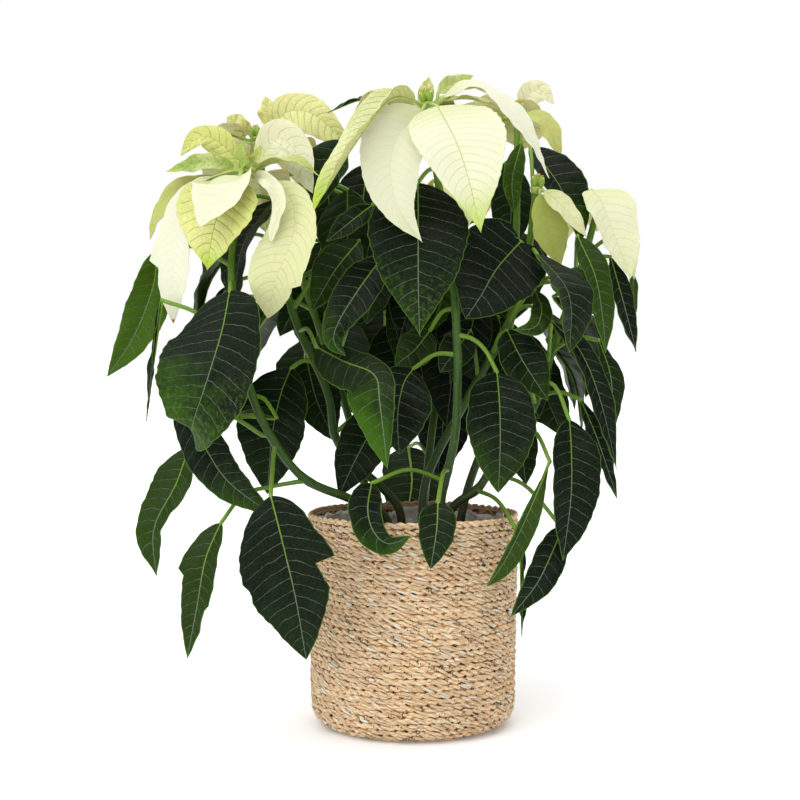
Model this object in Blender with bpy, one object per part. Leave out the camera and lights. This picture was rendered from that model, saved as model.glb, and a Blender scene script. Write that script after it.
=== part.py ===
"""A white poinsettia standing in a coiled seagrass basket.

Lengths are in millimetres here and turned to metres where a mesh is made. The origin is the middle of
the basket's underside, +Z is up and the front of the plant looks along -Y.
"""

import math
from dataclasses import dataclass, replace

import bpy
import numpy as np
from mathutils.bvhtree import BVHTree

MM = 0.001
GAP = 0.3

# Basket
BASKET_HEIGHT = 154.0
BASKET_TOP_RADIUS = 76.8
BASKET_FOOT_RADIUS = 74.0
BASKET_WALL = 6.0
BASKET_FLOOR = 5.0
BASKET_SEGMENTS = 28
FOOT_ROUNDING = 16.0
INNER_ROUNDING = 12.0
COILS = 10
COIL_RELIEF = 1.3
DENT_DEPTH = 6.5
DENT_HEIGHT = 98.0
DENT_SPREAD = 23.0
DENT_BEARING = 185.0
INNER_LEVELS = (BASKET_FLOOR + 3, BASKET_FLOOR + INNER_ROUNDING, 72, 98, 126)

# Film liner
FILM = 0.8
LINER_CLEARANCE = 0.9
LINER_TOP = 149.0
LINER_SEGMENTS = 20
LINER_FOOT = BASKET_FLOOR + 0.4

# Grow pot and soil
POT_SEGMENTS = 22
POT_FOOT_RADIUS = 48.0
POT_TOP_RADIUS = 60.0
POT_LIP_RADIUS = 64.0
POT_LIP_DROP = 8.0
POT_WALL = 1.4
POT_TOP = 134.0
POT_FOOT = LINER_FOOT + FILM + 0.4
SOIL_TOP = 126.0
HOLE_RADIUS = 4.6
HOLE_DEPTH = 22.0

# Stems, stalks and flower heads
STEM_FOOT_RADIUS = 3.3
STEM_TIP_RADIUS = 2.5
STEM_SIDES = 5
STEM_RUNS = 8
STALK_RADIUS = 1.5
BRACT_STALK_RADIUS = 1.2
HUB_RADIUS = 5.2
HUB_HEIGHT = 4.0
BRACT_STALK_FOOT = 2.4
BRACT_STALK_TURN = 7.2
BUD_RADIUS = 2.5
BUD_SPREAD = 2.9
BUD_LENGTH = 8.0
BUDS = 4

# Blades
LEAF_THICKNESS = 0.9
BRACT_THICKNESS = 0.8
CLEARANCE = 2.6
HEAD_ROOM = 24.0
SWEEP = 0.22

FRONT = (0.0, -1.0, 0.25)
UP = (0.0, -0.25, 1.0)
# A blade in the front view turns to its own side by this share of its distance from the middle.
TURN_OUT = 1 / 310

# How a blade's width grows from its base and narrows to its tip, as powers of the way along it.
FORMS = {
    "heart": (0.34, 0.92),
    "pointed": (0.55, 1.25),
    "ovate": (0.55, 1.0),
    "lance": (0.8, 1.15),
    "late": (1.3, 0.95),
    "strap": (0.5, 0.6),
}


@dataclass(frozen=True)
class Blade:
    """A leaf or bract: its midrib from base to tip, and its reach to the left and right of it."""

    midrib: tuple
    half: tuple
    form: str = "ovate"
    face: tuple = FRONT
    fold: float = 12.0
    wave: float = 1.5
    lobe: float = 0.0
    teeth: tuple = ()
    rows: int = 5
    columns: int = 4
    stem_height: float = 0.0
    via: tuple = ()


def front_blade(midrib, half, form, **more):
    """A blade that faces the front and, the further it is from the middle, also its own side."""
    midrib = tuple(midrib)
    aside = sum(point[0] for point in midrib) / len(midrib)
    more.setdefault("face", (aside * TURN_OUT, *FRONT[1:]))
    return Blade(midrib, half, form, **more)


def leaf(stem_height, midrib, half, form="ovate", **more):
    return front_blade(midrib, half, form, stem_height=stem_height, **more)


def narrow_leaf(stem_height, midrib, half, form="ovate", **more):
    return leaf(stem_height, midrib, half, form, columns=2, **more)


def small_leaf(stem_height, midrib, half, form="lance", **more):
    return leaf(stem_height, midrib, half, form, rows=4, columns=2, **more)


def bract(midrib, half, form="ovate", **more):
    return front_blade(midrib, half, form, **more)


def narrow_bract(midrib, half, form="ovate", **more):
    return bract(midrib, half, form, columns=2, **more)


def small_bract(midrib, half, form="ovate", **more):
    return bract(midrib, half, form, rows=4, columns=2, **more)


# Each stem stands in the soil at foot, runs through the points and ends under its flower head.
STEMS = {
    "left": {
        "foot": (-18, -14),
        "route": [(-20, -18, 152), (-45, -30, 166), (-76, -42, 181), (-98, -48, 209), (-112, -50, 240),
                  (-120, -48, 278), (-126, -44, 313), (-126, -38, 345), (-119, -31, 393)],
    },
    "centre": {
        "foot": (20, -24),
        "route": [(20, -26, 165), (29, -34, 208), (31, -40, 250), (30, -42, 285), (27, -43, 327),
                  (18, -44, 382), (10, -45, 438)],
    },
    "upper_left": {
        "foot": (-10, 14),
        "route": [(-12, 12, 158), (-53, 8, 200), (-61, 8, 235), (-69, 10, 256), (-86, 14, 293),
                  (-102, 26, 352), (-116, 40, 425)],
    },
    "upper_right": {
        "foot": (34, 28),
        "route": [(41, 30, 167), (64, 36, 234), (75, 42, 308), (78, 46, 363), (79, 50, 444)],
    },
    "right": {
        "foot": (26, -4),
        "route": [(28, -6, 156), (46, -6, 170), (54, -6, 181), (63, -4, 192), (85, 0, 224),
                  (104, 6, 278), (122, 10, 328), (134, 13, 370)],
    },
    "inner_right": {
        "foot": (8, 8),
        "route": [(10, 12, 176), (39, 10, 234), (63, 2, 278), (79, -4, 318), (88, -10, 383)],
    },
    "back_left": {
        "foot": (-30, 36),
        "route": [(-36, 48, 168), (-52, 68, 230), (-80, 88, 310), (-105, 98, 380)],
    },
    "back": {
        "foot": (6, 40),
        "route": [(10, 50, 168), (18, 72, 230), (28, 94, 310), (34, 108, 392)],
    },
}

# The leaves that show from the front, by stem. The first number is the height at which the stalk
# leaves the stem.
LEAVES = {
    "left": [
        leaf(318, [(-126, -60, 312), (-129, -80, 285), (-138, -92, 251), (-148, -88, 222),
            (-149, -77, 214)], (38, 37), "strap", wave=2.0, fold=8),
        narrow_leaf(330, [(-182, -20, 341), (-184, -28, 315), (-197, -30, 281), (-217, -26, 252)],
            (15, 16), "ovate", fold=18, face=(0.3, -1.0, 0.3)),
        small_leaf(262, [(-175, -50, 306), (-179, -54, 271), (-185, -52, 222)], (6, 6),
            face=(-1.0, -0.4, 0.0)),
        leaf(212, [(-162, -62, 236), (-147, -68, 213), (-127, -74, 183), (-95, -78, 159)],
            (16, 16), "ovate", via=((-105, -47, 212), (-120, -50, 222), (-142, -54, 234))),
        leaf(226, [(-157, -46, 203), (-165, -52, 178), (-180, -56, 147), (-179, -54, 114)],
            (18, 12), "ovate", wave=2.5),
        leaf(206, [(-96, -90, 174), (-89, -96, 149), (-79, -98, 107), (-72, -94, 64)], (32, 28),
            "ovate", teeth=((-1, 0.42, 0.05), (1, 0.36, 0.28)), rows=8, fold=10,
            via=((-97, -56, 196),)),
        narrow_leaf(180, [(-132, -66, 153), (-142, -72, 128), (-148, -74, 94), (-155, -70, 60)], (15, 11),
            "ovate", teeth=((-1, 0.34, 0.14), (1, 0.56, 0.2)), rows=7,
            via=((-100, -48, 176), (-118, -56, 171))),
        small_leaf(240, [(-97, -22, 223), (-116, -26, 224), (-137, -30, 224)], (10, 10), face=UP,
            fold=40),
    ],
    "upper_left": [
        leaf(262, [(-88, -4, 258), (-95, -10, 239), (-101, -12, 210), (-105, -8, 167)], (27, 27)),
        leaf(285, [(-68, -36, 273), (-48, -50, 263), (-27, -64, 254), (-23, -72, 234),
            (-18, -70, 190)], (25, 12), "ovate", wave=2.5, face=(0.1, -1.0, 0.5)),
        narrow_leaf(210, [(-15, 0, 231), (-29, -10, 214), (-41, -18, 193), (-53, -20, 167)], (19, 20)),
        small_leaf(300, [(-38, -18, 349), (-55, -22, 328), (-72, -24, 299)], (16, 16), "ovate"),
        small_leaf(352, [(-52, -5, 422), (-64, -10, 396), (-68, -12, 373)], (16, 16), "ovate"),
    ],
    "centre": [
        narrow_leaf(345, [(-21, -36, 337), (-36, -48, 316), (-51, -54, 292), (-55, -54, 277),
            (-47, -50, 267)], (15, 15), "ovate"),
        leaf(398, [(3, -64, 387), (3, -82, 355), (3, -86, 318), (4, -80, 281)], (34, 34), "pointed",
            fold=7, wave=1.2),
        narrow_leaf(268, [(0, -24, 258), (-7, -32, 247), (-11, -38, 226), (-10, -38, 198)], (18, 24)),
        narrow_leaf(186, [(16, -88, 169), (15, -94, 151), (11, -94, 125)], (13, 13), "heart", rows=5),
        narrow_leaf(178, [(-29, -66, 180), (-31, -88, 164), (-27, -93, 150), (-17, -93, 142),
            (-2, -90, 147)], (14, 10), "ovate", fold=20, face=(0.0, -1.0, 0.1)),
        small_leaf(430, [(-9, -20, 444), (-34, -16, 450), (-61, -14, 440)], (6, 6), face=UP),
        small_leaf(380, [(-29, -10, 375), (-45, -16, 362), (-62, -20, 348)], (9, 9)),
        small_leaf(300, [(12, -10, 285), (1, -16, 271), (-13, -20, 260)], (14, 14), "ovate"),
        leaf(282, [(58, -46, 256), (59, -62, 230), (59, -66, 203), (58, -62, 173)], (25, 25),
            "ovate", via=((41, -46, 279), (50, -46, 271))),
    ],
    "inner_right": [
        leaf(330, [(75, -38, 347), (58, -50, 328), (46, -54, 308), (36, -52, 293)], (33, 31),
            "heart", lobe=0.12),
        small_leaf(300, [(95, -38, 322), (112, -44, 325), (127, -46, 308)], (9, 9), face=UP),
        small_leaf(296, [(99, -20, 319), (111, -24, 307), (126, -26, 296)], (9, 9)),
        small_leaf(290, [(85, -28, 313), (89, -36, 299), (84, -40, 287), (69, -42, 285)], (8, 8)),
        narrow_leaf(372, [(86, -22, 419), (104, -36, 393), (115, -40, 370), (122, -38, 348)], (12, 20),
            "ovate"),
        small_leaf(250, [(41, -8, 285), (30, -14, 270), (19, -16, 255)], (13, 13), "ovate"),
        small_leaf(268, [(66, -10, 285), (76, -20, 264), (94, -22, 236)], (17, 17), "ovate"),
    ],
    "right": [
        narrow_leaf(318, [(115, -34, 351), (126, -44, 323), (131, -46, 296), (134, -42, 269)], (10, 12)),
        small_leaf(340, [(159, -2, 355), (160, -6, 314), (162, -6, 270)], (5, 5),
            face=(1.0, -0.4, 0.2)),
        small_leaf(330, [(141, -12, 338), (149, -18, 307), (159, -18, 270)], (9, 9)),
        narrow_leaf(262, [(97, -40, 291), (115, -54, 270), (128, -60, 237), (140, -58, 189)], (11, 10),
            "lance", fold=25),
        small_leaf(270, [(131, -28, 278), (139, -34, 250), (140, -34, 208)], (9, 9)),
        leaf(232, [(108, -50, 223), (108, -64, 199), (107, -70, 169), (102, -68, 127)], (16, 21),
            "ovate", via=((84, -24, 250), (99, -40, 246))),
        narrow_leaf(182, [(103, -52, 148), (96, -62, 134), (84, -72, 112), (66, -76, 90)], (12, 12)),
        small_leaf(212, [(93, -72, 195), (84, -82, 176), (72, -90, 151), (60, -92, 128),
            (49, -90, 112)], (4, 10), "late", via=((86, -44, 213),)),
        small_leaf(170, [(75, -32, 140), (75, -36, 109), (75, -36, 73)], (5, 5),
            face=(1.0, -0.5, 0.1)),
        small_leaf(236, [(119, -20, 236), (131, -24, 207), (145, -26, 165)], (8, 8)),
        small_leaf(205, [(73, -20, 221), (79, -28, 200), (83, -30, 172)], (13, 13), "ovate"),
    ],
    "upper_right": [
        small_leaf(400, [(80, 30, 424), (73, 26, 396), (75, 24, 369)], (8, 8)),
    ],
    "back_left": [],
    "back": [
        small_leaf(308, [(32, 66, 312), (31, 60, 262), (26, 60, 212)], (28, 28), "ovate"),
        small_leaf(296, [(-8, 64, 296), (-12, 58, 250), (-10, 60, 204)], (24, 24), "ovate"),
        small_leaf(284, [(66, 62, 296), (70, 56, 252), (66, 58, 210)], (23, 23), "ovate"),
        small_leaf(362, [(-34, 58, 412), (-38, 52, 372), (-36, 54, 330)], (23, 23), "ovate"),
        small_leaf(356, [(72, 68, 414), (75, 62, 380), (73, 64, 342)], (17, 17), "ovate"),
        small_leaf(262, [(22, 50, 250), (24, 44, 212), (20, 46, 172)], (22, 22), "ovate"),
        small_leaf(300, [(24, 34, 318), (20, 32, 302), (16, 34, 286)], (9, 9), "ovate"),
    ],
}

# The bracts that show from the front, by flower head.
BRACTS = {
    "left": [
        bract([(-120, -44, 392), (-126, -66, 380), (-144, -80, 354)], (27, 16), "heart",
            teeth=((-1, 0.3, 0.1),), lobe=0.1, rows=5),
        bract([(-122, -42, 389), (-132, -54, 371), (-138, -58, 350), (-142, -56, 326)], (31, 31),
            "pointed"),
        narrow_bract([(-138, -36, 393), (-150, -40, 388), (-162, -44, 371), (-166, -44, 337),
            (-168, -42, 290)], (15, 13), "late", teeth=((-1, 0.6, 0.2),), rows=7),
        small_bract([(-140, -26, 392), (-164, -28, 384), (-180, -28, 366), (-186, -26, 349)],
            (8, 8)),
        bract([(-108, -44, 389), (-85, -58, 376), (-82, -66, 350), (-94, -66, 319),
            (-100, -60, 293)], (22, 20), "late", teeth=((1, 0.7, 0.14),), rows=7, wave=2.5),
        narrow_bract([(-110, -28, 402), (-95, -28, 420), (-81, -34, 408), (-70, -42, 380)], (15, 13)),
        small_bract([(-110, -38, 397), (-96, -46, 402), (-80, -50, 401), (-65, -52, 391)],
            (10, 10), face=UP),
        small_bract([(-119, -40, 399), (-119, -48, 406), (-118, -52, 414)], (5, 5)),
        small_bract([(-113, -38, 400), (-108, -44, 407), (-106, -46, 413)], (4, 4)),
        narrow_bract([(-124, -18, 405), (-138, -14, 419), (-152, -12, 423), (-166, -14, 410)], (10, 10),
            wave=3.0),
        small_bract([(-126, -26, 399), (-142, -32, 403), (-158, -34, 400), (-173, -34, 396)],
            (8, 9), face=(0.0, -0.9, 0.7)),
        small_bract([(-111, -46, 391), (-100, -58, 387), (-91, -62, 372), (-97, -60, 345)], (6, 6),
            "strap", fold=30),
    ],
    "centre": [
        bract([(1, -56, 442), (-16, -74, 441), (-37, -92, 412), (-54, -98, 384), (-66, -98, 364)],
            (12, 12), "strap", fold=42, face=(-0.6, -0.6, 0.6)),
        bract([(6, -62, 435), (-11, -95, 415), (-16, -110, 392), (-10, -116, 366),
            (6, -116, 344)], (22, 22), "pointed", rows=7),
        bract([(16, -64, 437), (27, -102, 409), (35, -118, 382), (43, -122, 347)], (29, 34),
            "pointed", fold=8),
        narrow_bract([(20, -52, 445), (42, -56, 452), (64, -62, 436), (79, -66, 414), (92, -66, 388)],
            (11, 11), "lance", face=(0.5, -0.6, 0.8)),
        small_bract([(17, -40, 450), (27, -36, 457), (42, -32, 463)], (6, 6)),
        small_bract([(21, -36, 446), (38, -30, 448), (61, -26, 443)], (7, 7), face=UP),
        small_bract([(8, -32, 441), (9, -28, 452), (11, -27, 463)], (6, 6)),
    ],
    "upper_left": [
        small_bract([(-121, 30, 431), (-126, 26, 434), (-132, 22, 432)], (7, 7)),
        small_bract([(-127, 45, 432), (-132, 47, 440), (-139, 47, 446)], (9, 9)),
        small_bract([(-108, 46, 438), (-108, 47, 449), (-110, 47, 461)], (8, 8)),
        bract([(-108, 36, 432), (-92, 24, 446), (-71, 14, 442), (-44, 8, 416)], (18, 13)),
    ],
    "upper_right": [
        small_bract([(83, 58, 452), (88, 64, 464), (97, 67, 469), (108, 65, 458)], (11, 9)),
        small_bract([(86, 42, 448), (99, 34, 439), (110, 30, 412)], (8, 8)),
    ],
    "right": [
        narrow_bract([(128, -6, 386), (134, -16, 376), (142, -22, 354), (154, -24, 322)], (16, 23),
            "heart"),
        small_bract([(145, 8, 372), (153, 2, 360), (158, 0, 343), (160, 0, 322)], (9, 7)),
    ],
    "inner_right": [
        small_bract([(93, -20, 384), (107, -26, 371), (122, -28, 351)], (8, 8)),
        narrow_bract([(90, -18, 382), (97, -16, 356), (105, -14, 330)], (14, 14)),
    ],
    "back_left": [],
    "back": [],
}

# Leaves that a rule hangs round the sides and the back: how many are wanted and how many it tries,
# between which bearings, in degrees from +X towards the back, and how far out at each height.
OUTER_LEAVES = 25
OUTER_TRIES = 130
OUTER_BEARINGS = (-38, 218)
OUTER_MIDDLE = (-12, 22)
OUTER_REACH = [(190, 74, 78), (240, 100, 92), (300, 118, 104), (350, 118, 100), (410, 86, 84)]
OUTER_LENGTH = (78, 102)

# Where a rule adds bracts: how many are wanted, and between which bearings.
BRACT_FILL = {
    "left": (2, 80, 220),
    "centre": (3, 60, 170),
    "upper_left": (3, 60, 240),
    "upper_right": (4, -10, 190),
    "right": (4, -60, 140),
    "inner_right": (1, 60, 120),
    "back_left": (6, 0, 330),
    "back": (6, -90, 250),
}
BRACT_TRIES = 4
BRACT_FILL_LENGTH = (52, 70)

# Leaves in the shade between the stems, hung by rule inside these limits.
INNER_LEAVES = 12
INNER_TRIES = 32
INNER_ACROSS = (-80, 100)
INNER_HEIGHTS = (265, 415)
INNER_DEPTHS = (10, 45)

# The outline in the front view at the origin's depth: height, left edge and right edge.
VIEW_DISTANCE = 1150.0
VIEW_HEIGHT = 275.0
FRONT_OUTLINE = [(200, -35, 50), (206, -150, 140), (235, -190, 150), (271, -198, 162),
                 (325, -198, 162), (354, -188, 162), (376, -188, 154), (390, -174, 137),
                 (411, -174, 115), (427, -160, 104), (446, -118, 98), (449, -60, 96), (458, -20, 66),
                 (466, 0, 45), (470, 5, 30), (471, 300, 300)]

SEED = 7


def clear_scene():
    for item in list(bpy.data.objects):
        bpy.data.objects.remove(item, do_unlink=True)


def unit(vectors):
    return vectors / np.linalg.norm(vectors, axis=-1, keepdims=True)


def smooth(points, runs):
    """Evenly spaced points on a smooth curve through the given ones."""
    points = np.array(points, float)
    padded = np.vstack([2 * points[0] - points[1], points, 2 * points[-1] - points[-2]])
    steps = np.linspace(0, 1, 16, endpoint=False)[:, None]
    fine = []
    for a, b, c, d in zip(padded, padded[1:], padded[2:], padded[3:]):
        curve = 2 * b + (c - a) * steps + (2 * a - 5 * b + 4 * c - d) * steps**2
        fine.append((curve + (3 * b - a - 3 * c + d) * steps**3) / 2)
    fine = np.vstack([*fine, points[-1:]])
    along = np.concatenate([[0], np.cumsum(np.linalg.norm(np.diff(fine, axis=0), axis=1))])
    wanted = np.linspace(0, along[-1], runs + 1)
    return np.stack([np.interp(wanted, along, fine[:, axis]) for axis in range(3)], axis=1)


def stem_points(place):
    """The stem's own route, from the bottom of its hole in the soil."""
    stem = STEMS[place]
    x, y = stem["foot"]
    buried = [(x, y, SOIL_TOP - HOLE_DEPTH + GAP), (x, y, SOIL_TOP - HOLE_DEPTH / 2)]
    return buried + [(x, y, SOIL_TOP + 3)] + stem["route"]


def stem_at(place, height):
    route = smooth(stem_points(place), 80)
    return np.array([np.interp(height, route[:, 2], route[:, axis]) for axis in range(3)])


def stem_end(place):
    """The middle of the stem's top and the direction in which it points."""
    route = smooth(stem_points(place), 80)
    return route[-1], unit(route[-1] - route[-5])


def hub_centre(place):
    top, axis = stem_end(place)
    return top + axis * (GAP + HUB_HEIGHT / 2)


def outline(blade, along, side):
    """The share of its full width that the blade has at each point along it."""
    rise, fall = FORMS[blade.form]
    widest = rise / (rise + fall)
    share = (along / widest) ** rise * ((1 - along) / (1 - widest)) ** fall
    for tooth_side, place, depth in blade.teeth:
        if tooth_side == side:
            knots = [place - 0.16, place, place + 0.05, place + 0.18]
            share = share * (1 + np.interp(along, knots, [0, depth, -depth, 0]))
    return share


def rows_along(blade, rows):
    """Where the blade's rows lie between base and tip: closer at both ends, and on its teeth."""
    even = np.linspace(0, 1, rows + 1)
    along = even - 0.055 * np.sin(2 * np.pi * even)
    for _, place, _ in blade.teeth:
        nearest = int(np.clip(np.abs(along - place).argmin(), 1, rows - 2))
        along[nearest] = place
        along[nearest + 1] = place + 0.05
    return np.sort(along)


def blade_surface(blade, rows, columns, phase):
    """The blade's middle surface, as rows of points from its left edge to its right."""
    along = rows_along(blade, rows)
    across = np.linspace(-1, 1, columns + 1)
    route = smooth(blade.midrib, 48)
    length = np.linalg.norm(np.diff(route, axis=0), axis=1).sum()
    stations = np.linspace(0, 1, 49)
    tangents = unit(np.gradient(route, axis=0))
    spine = np.stack([np.interp(along, stations, route[:, k]) for k in range(3)], axis=1)
    tangent = unit(np.stack([np.interp(along, stations, tangents[:, k]) for k in range(3)], axis=1))
    face = np.array(blade.face, float)
    normal = unit(face - (tangent @ face)[:, None] * tangent)
    sideways = np.cross(normal, tangent)
    grid = np.empty((rows + 1, columns + 1, 3))
    for column, v in enumerate(across):
        side = -1 if v < 0 else 1
        share = outline(blade, along, side)
        reach = abs(v) * blade.half[0 if side < 0 else 1] * share
        lift = reach * math.sin(math.radians(blade.fold))
        ripple = np.sin(2 * np.pi * 1.7 * along + phase + 1.3 * side)
        lift = lift + blade.wave * abs(v) ** 1.5 * share * ripple
        flat = reach * math.cos(math.radians(blade.fold))
        ahead = SWEEP * reach - blade.lobe * length * v * v * (1 - along) ** 4
        ahead[0] = 0
        grid[:, column] = (
            spine + side * flat[:, None] * sideways + lift[:, None] * normal + ahead[:, None] * tangent
        )
    return grid


def surface_normals(grid):
    """The direction in which each point of a blade faces."""
    normals = np.cross(np.gradient(grid, axis=0), np.gradient(grid, axis=1))
    normals[0] = normals[1]
    normals[-1] = normals[-2]
    return unit(normals)


def volume(points, faces):
    first, second, third = (points[faces[:, corner]] for corner in range(3))
    return np.einsum("ij,ij->i", first, np.cross(second, third)).sum() / 6


def outward(points, faces):
    faces = np.array(faces)
    return points, faces if volume(points, faces) > 0 else faces[:, ::-1]


def rings_along(route, across, radius):
    """Four points round each place on a stalk, the first on the side that across points to."""
    tangents = unit(np.gradient(route, axis=0))
    rings = []
    for place, tangent in zip(route, tangents):
        across = unit(across - (across @ tangent) * tangent)
        other = np.cross(tangent, across)
        rings += [place + radius * step for step in (across, other, -across, -other)]
    return rings


def blade_solid(blade, thickness, phase, stalk, radius):
    """A closed blade, drawn out at its base into a four-sided stalk that runs back along the route."""
    rows, columns = blade.rows, blade.columns
    grid = blade_surface(blade, rows, columns, phase)
    offset = surface_normals(grid) * thickness / 2
    ring = rings_along(stalk, offset[0, columns // 2], radius)
    top = (grid + offset)[1:-1].reshape(-1, 3)
    bottom = (grid - offset)[1:-1].reshape(-1, 3)
    middle = columns // 2
    tips = [(grid + offset)[-1, middle], (grid - offset)[-1, middle]]
    wide = columns + 1
    first = len(ring)
    below = len(top)
    tip = first + 2 * below

    def at(row, column, lower=0):
        return first + (row - 1) * wide + column + lower * below

    upper, right, lower, left = range(4)
    faces = [(left, at(1, 0), upper), (upper, at(1, columns), right)]
    faces += [(left, lower, at(1, 0, 1)), (lower, right, at(1, columns, 1))]
    faces += [(left, at(1, 0, 1), at(1, 0)), (right, at(1, columns), at(1, columns, 1))]
    for j in range(columns):
        faces += [(upper, at(1, j), at(1, j + 1)), (lower, at(1, j + 1, 1), at(1, j, 1))]
        end = rows - 1
        faces += [(at(end, j), tip, at(end, j + 1)), (at(end, j + 1, 1), tip + 1, at(end, j, 1))]
    for row in range(1, rows - 1):
        for j in range(columns):
            p, q, ahead_p, ahead_q = at(row, j), at(row, j + 1), at(row + 1, j), at(row + 1, j + 1)
            if j < middle:
                pair = [(p, ahead_p, q), (q, ahead_p, ahead_q)]
            else:
                pair = [(p, ahead_p, ahead_q), (p, ahead_q, q)]
            faces += pair + [tuple(corner + below for corner in face[::-1]) for face in pair]
        for j, turn in ((0, 1), (columns, -1)):
            a, b, ahead_a, ahead_b = at(row, j), at(row, j, 1), at(row + 1, j), at(row + 1, j, 1)
            faces += [(a, b, ahead_b)[::turn], (a, ahead_b, ahead_a)[::turn]]
    for j, turn in ((0, 1), (columns, -1)):
        a, b = at(rows - 1, j), at(rows - 1, j, 1)
        faces += [(a, b, tip + 1)[::turn], (a, tip + 1, tip)[::turn]]
    for run in range(len(stalk) - 1):
        for k in range(4):
            a, b = 4 * run + k, 4 * run + (k + 1) % 4
            faces += [(a, b, b + 4), (a, b + 4, a + 4)]
    end = first - 4
    faces += [(end, end + 1, end + 2), (end, end + 2, end + 3)]
    return outward(np.vstack([ring, top, bottom, tips]), faces)


def tube(route, radii, sides):
    """A closed tube along the route."""
    route = np.array(route, float)
    tangents = unit(np.gradient(route, axis=0))
    across = np.array([1.0, 0.0, 0.0])
    if abs(tangents[0] @ across) > 0.9:
        across = np.array([0.0, 1.0, 0.0])
    angles = np.arange(sides) * 2 * np.pi / sides
    points = []
    for place, tangent, radius in zip(route, tangents, radii):
        across = unit(across - (across @ tangent) * tangent)
        other = np.cross(tangent, across)
        points += [place + radius * (math.cos(a) * across + math.sin(a) * other) for a in angles]
    faces = []
    for ring in range(len(route) - 1):
        for k in range(sides):
            a, b = ring * sides + k, ring * sides + (k + 1) % sides
            faces += [(a, b, b + sides), (a, b + sides, a + sides)]
    end = (len(route) - 1) * sides
    faces += [(0, k + 1, k) for k in range(1, sides - 1)]
    faces += [(end, end + k, end + k + 1) for k in range(1, sides - 1)]
    return outward(np.array(points), faces)


def stalk_route(place, blade, runs):
    """From the blade's base back to the middle of the stem or of the flower head."""
    base = np.array(blade.midrib[0], float)
    if not blade.stem_height:
        _, axis = stem_end(place)
        centre = hub_centre(place)
        outward_way = unit((base - centre) - ((base - centre) @ axis) * axis)
        steps = (BRACT_STALK_FOOT, BRACT_STALK_TURN)
        return np.array([centre + step * outward_way for step in steps] + [base])[::-1]
    start = stem_at(place, blade.stem_height)
    middle = list(blade.via)
    if not middle:
        rise = 0.14 * np.linalg.norm(base - start)
        middle = [(start + base) / 2 + np.array([0, 0, rise])]
    return smooth([start, *middle, base], runs)[::-1]


def whole_blade(place, blade, thickness, phase):
    runs = 3 if blade.columns > 2 else 2
    radius = STALK_RADIUS if blade.stem_height else BRACT_STALK_RADIUS
    return blade_solid(blade, thickness, phase, stalk_route(place, blade, runs), radius)


def roomy_blade(place, blade, phase):
    """The blade with some room round it, and with its stalk only where that is clear of the stem."""
    if blade.stem_height:
        stalk = stalk_route(place, blade, 9)[:8]
    else:
        stalk = stalk_route(place, blade, 2)
    return blade_solid(blade, CLEARANCE, phase, stalk, STALK_RADIUS + 0.5)


def tree_of(solid):
    points, faces = solid
    return points.min(axis=0), points.max(axis=0), BVHTree.FromPolygons(points.tolist(), faces.tolist())


def touches(one, other):
    if (one[0] > other[1]).any() or (other[0] > one[1]).any():
        return False
    return bool(one[2].overlap(other[2]))


def swung(blade, shift):
    """The blade moved in depth, its base too unless it sits on a flower head."""
    points = np.array(blade.midrib, float)
    share = np.ones(len(points)) if blade.stem_height else np.linspace(0, 1, len(points)) ** 0.7
    points[:, 1] += shift * share
    via = tuple((x, y + shift * 0.5, z) for x, y, z in blade.via)
    return replace(blade, midrib=tuple(map(tuple, points)), via=via)


def shifts():
    yield 0
    for step in range(4, 45, 4):
        yield step
        yield -step


def spread_part(place, solid):
    """The part of a bract that is well away from the middle of its own flower head."""
    points, faces = solid
    away = np.linalg.norm(points - hub_centre(place), axis=1) > HEAD_ROOM
    return points, faces[away[faces].all(axis=1)]


def is_clear(place, kind, whole, spread, kept):
    """Whether a blade with room round it misses all that is in place."""
    for owner, other_kind, other, other_spread in kept:
        if owner == place and kind == "bracts" and other_kind in ("bracts", "hub"):
            if other_spread and spread and touches(spread, other_spread):
                return False
        elif touches(whole, other):
            return False
    return True


def inner_leaf(number, draws):
    """A leaf that hangs in the shade between the stems, and the stem that it grows from."""
    across = INNER_ACROSS[0] + (INNER_ACROSS[1] - INNER_ACROSS[0]) * ((number * 0.618) % 1.0)
    height = INNER_HEIGHTS[0] + (INNER_HEIGHTS[1] - INNER_HEIGHTS[0]) * ((number * 0.382) % 1.0)
    depth = draws.uniform(*INNER_DEPTHS)
    lean = draws.uniform(-0.5, 0.5)
    length = draws.uniform(66, 88)
    base = np.array([across, depth, height])
    middle = base + np.array([lean * length * 0.3, -6, -length * 0.45])
    tip = base + np.array([lean * length * 0.8, -2, -length * 0.9])
    half = length * draws.uniform(0.27, 0.34)
    place = min(STEMS, key=lambda stem: np.linalg.norm(stem_at(stem, height + 8)[:2] - base[:2]))
    face = (draws.uniform(-1.3, 1.3), -1.0, 0.3)
    midrib = map(tuple, (base, middle, tip))
    return place, small_leaf(height + 8, midrib, (half, half), "ovate", face=face)


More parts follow.
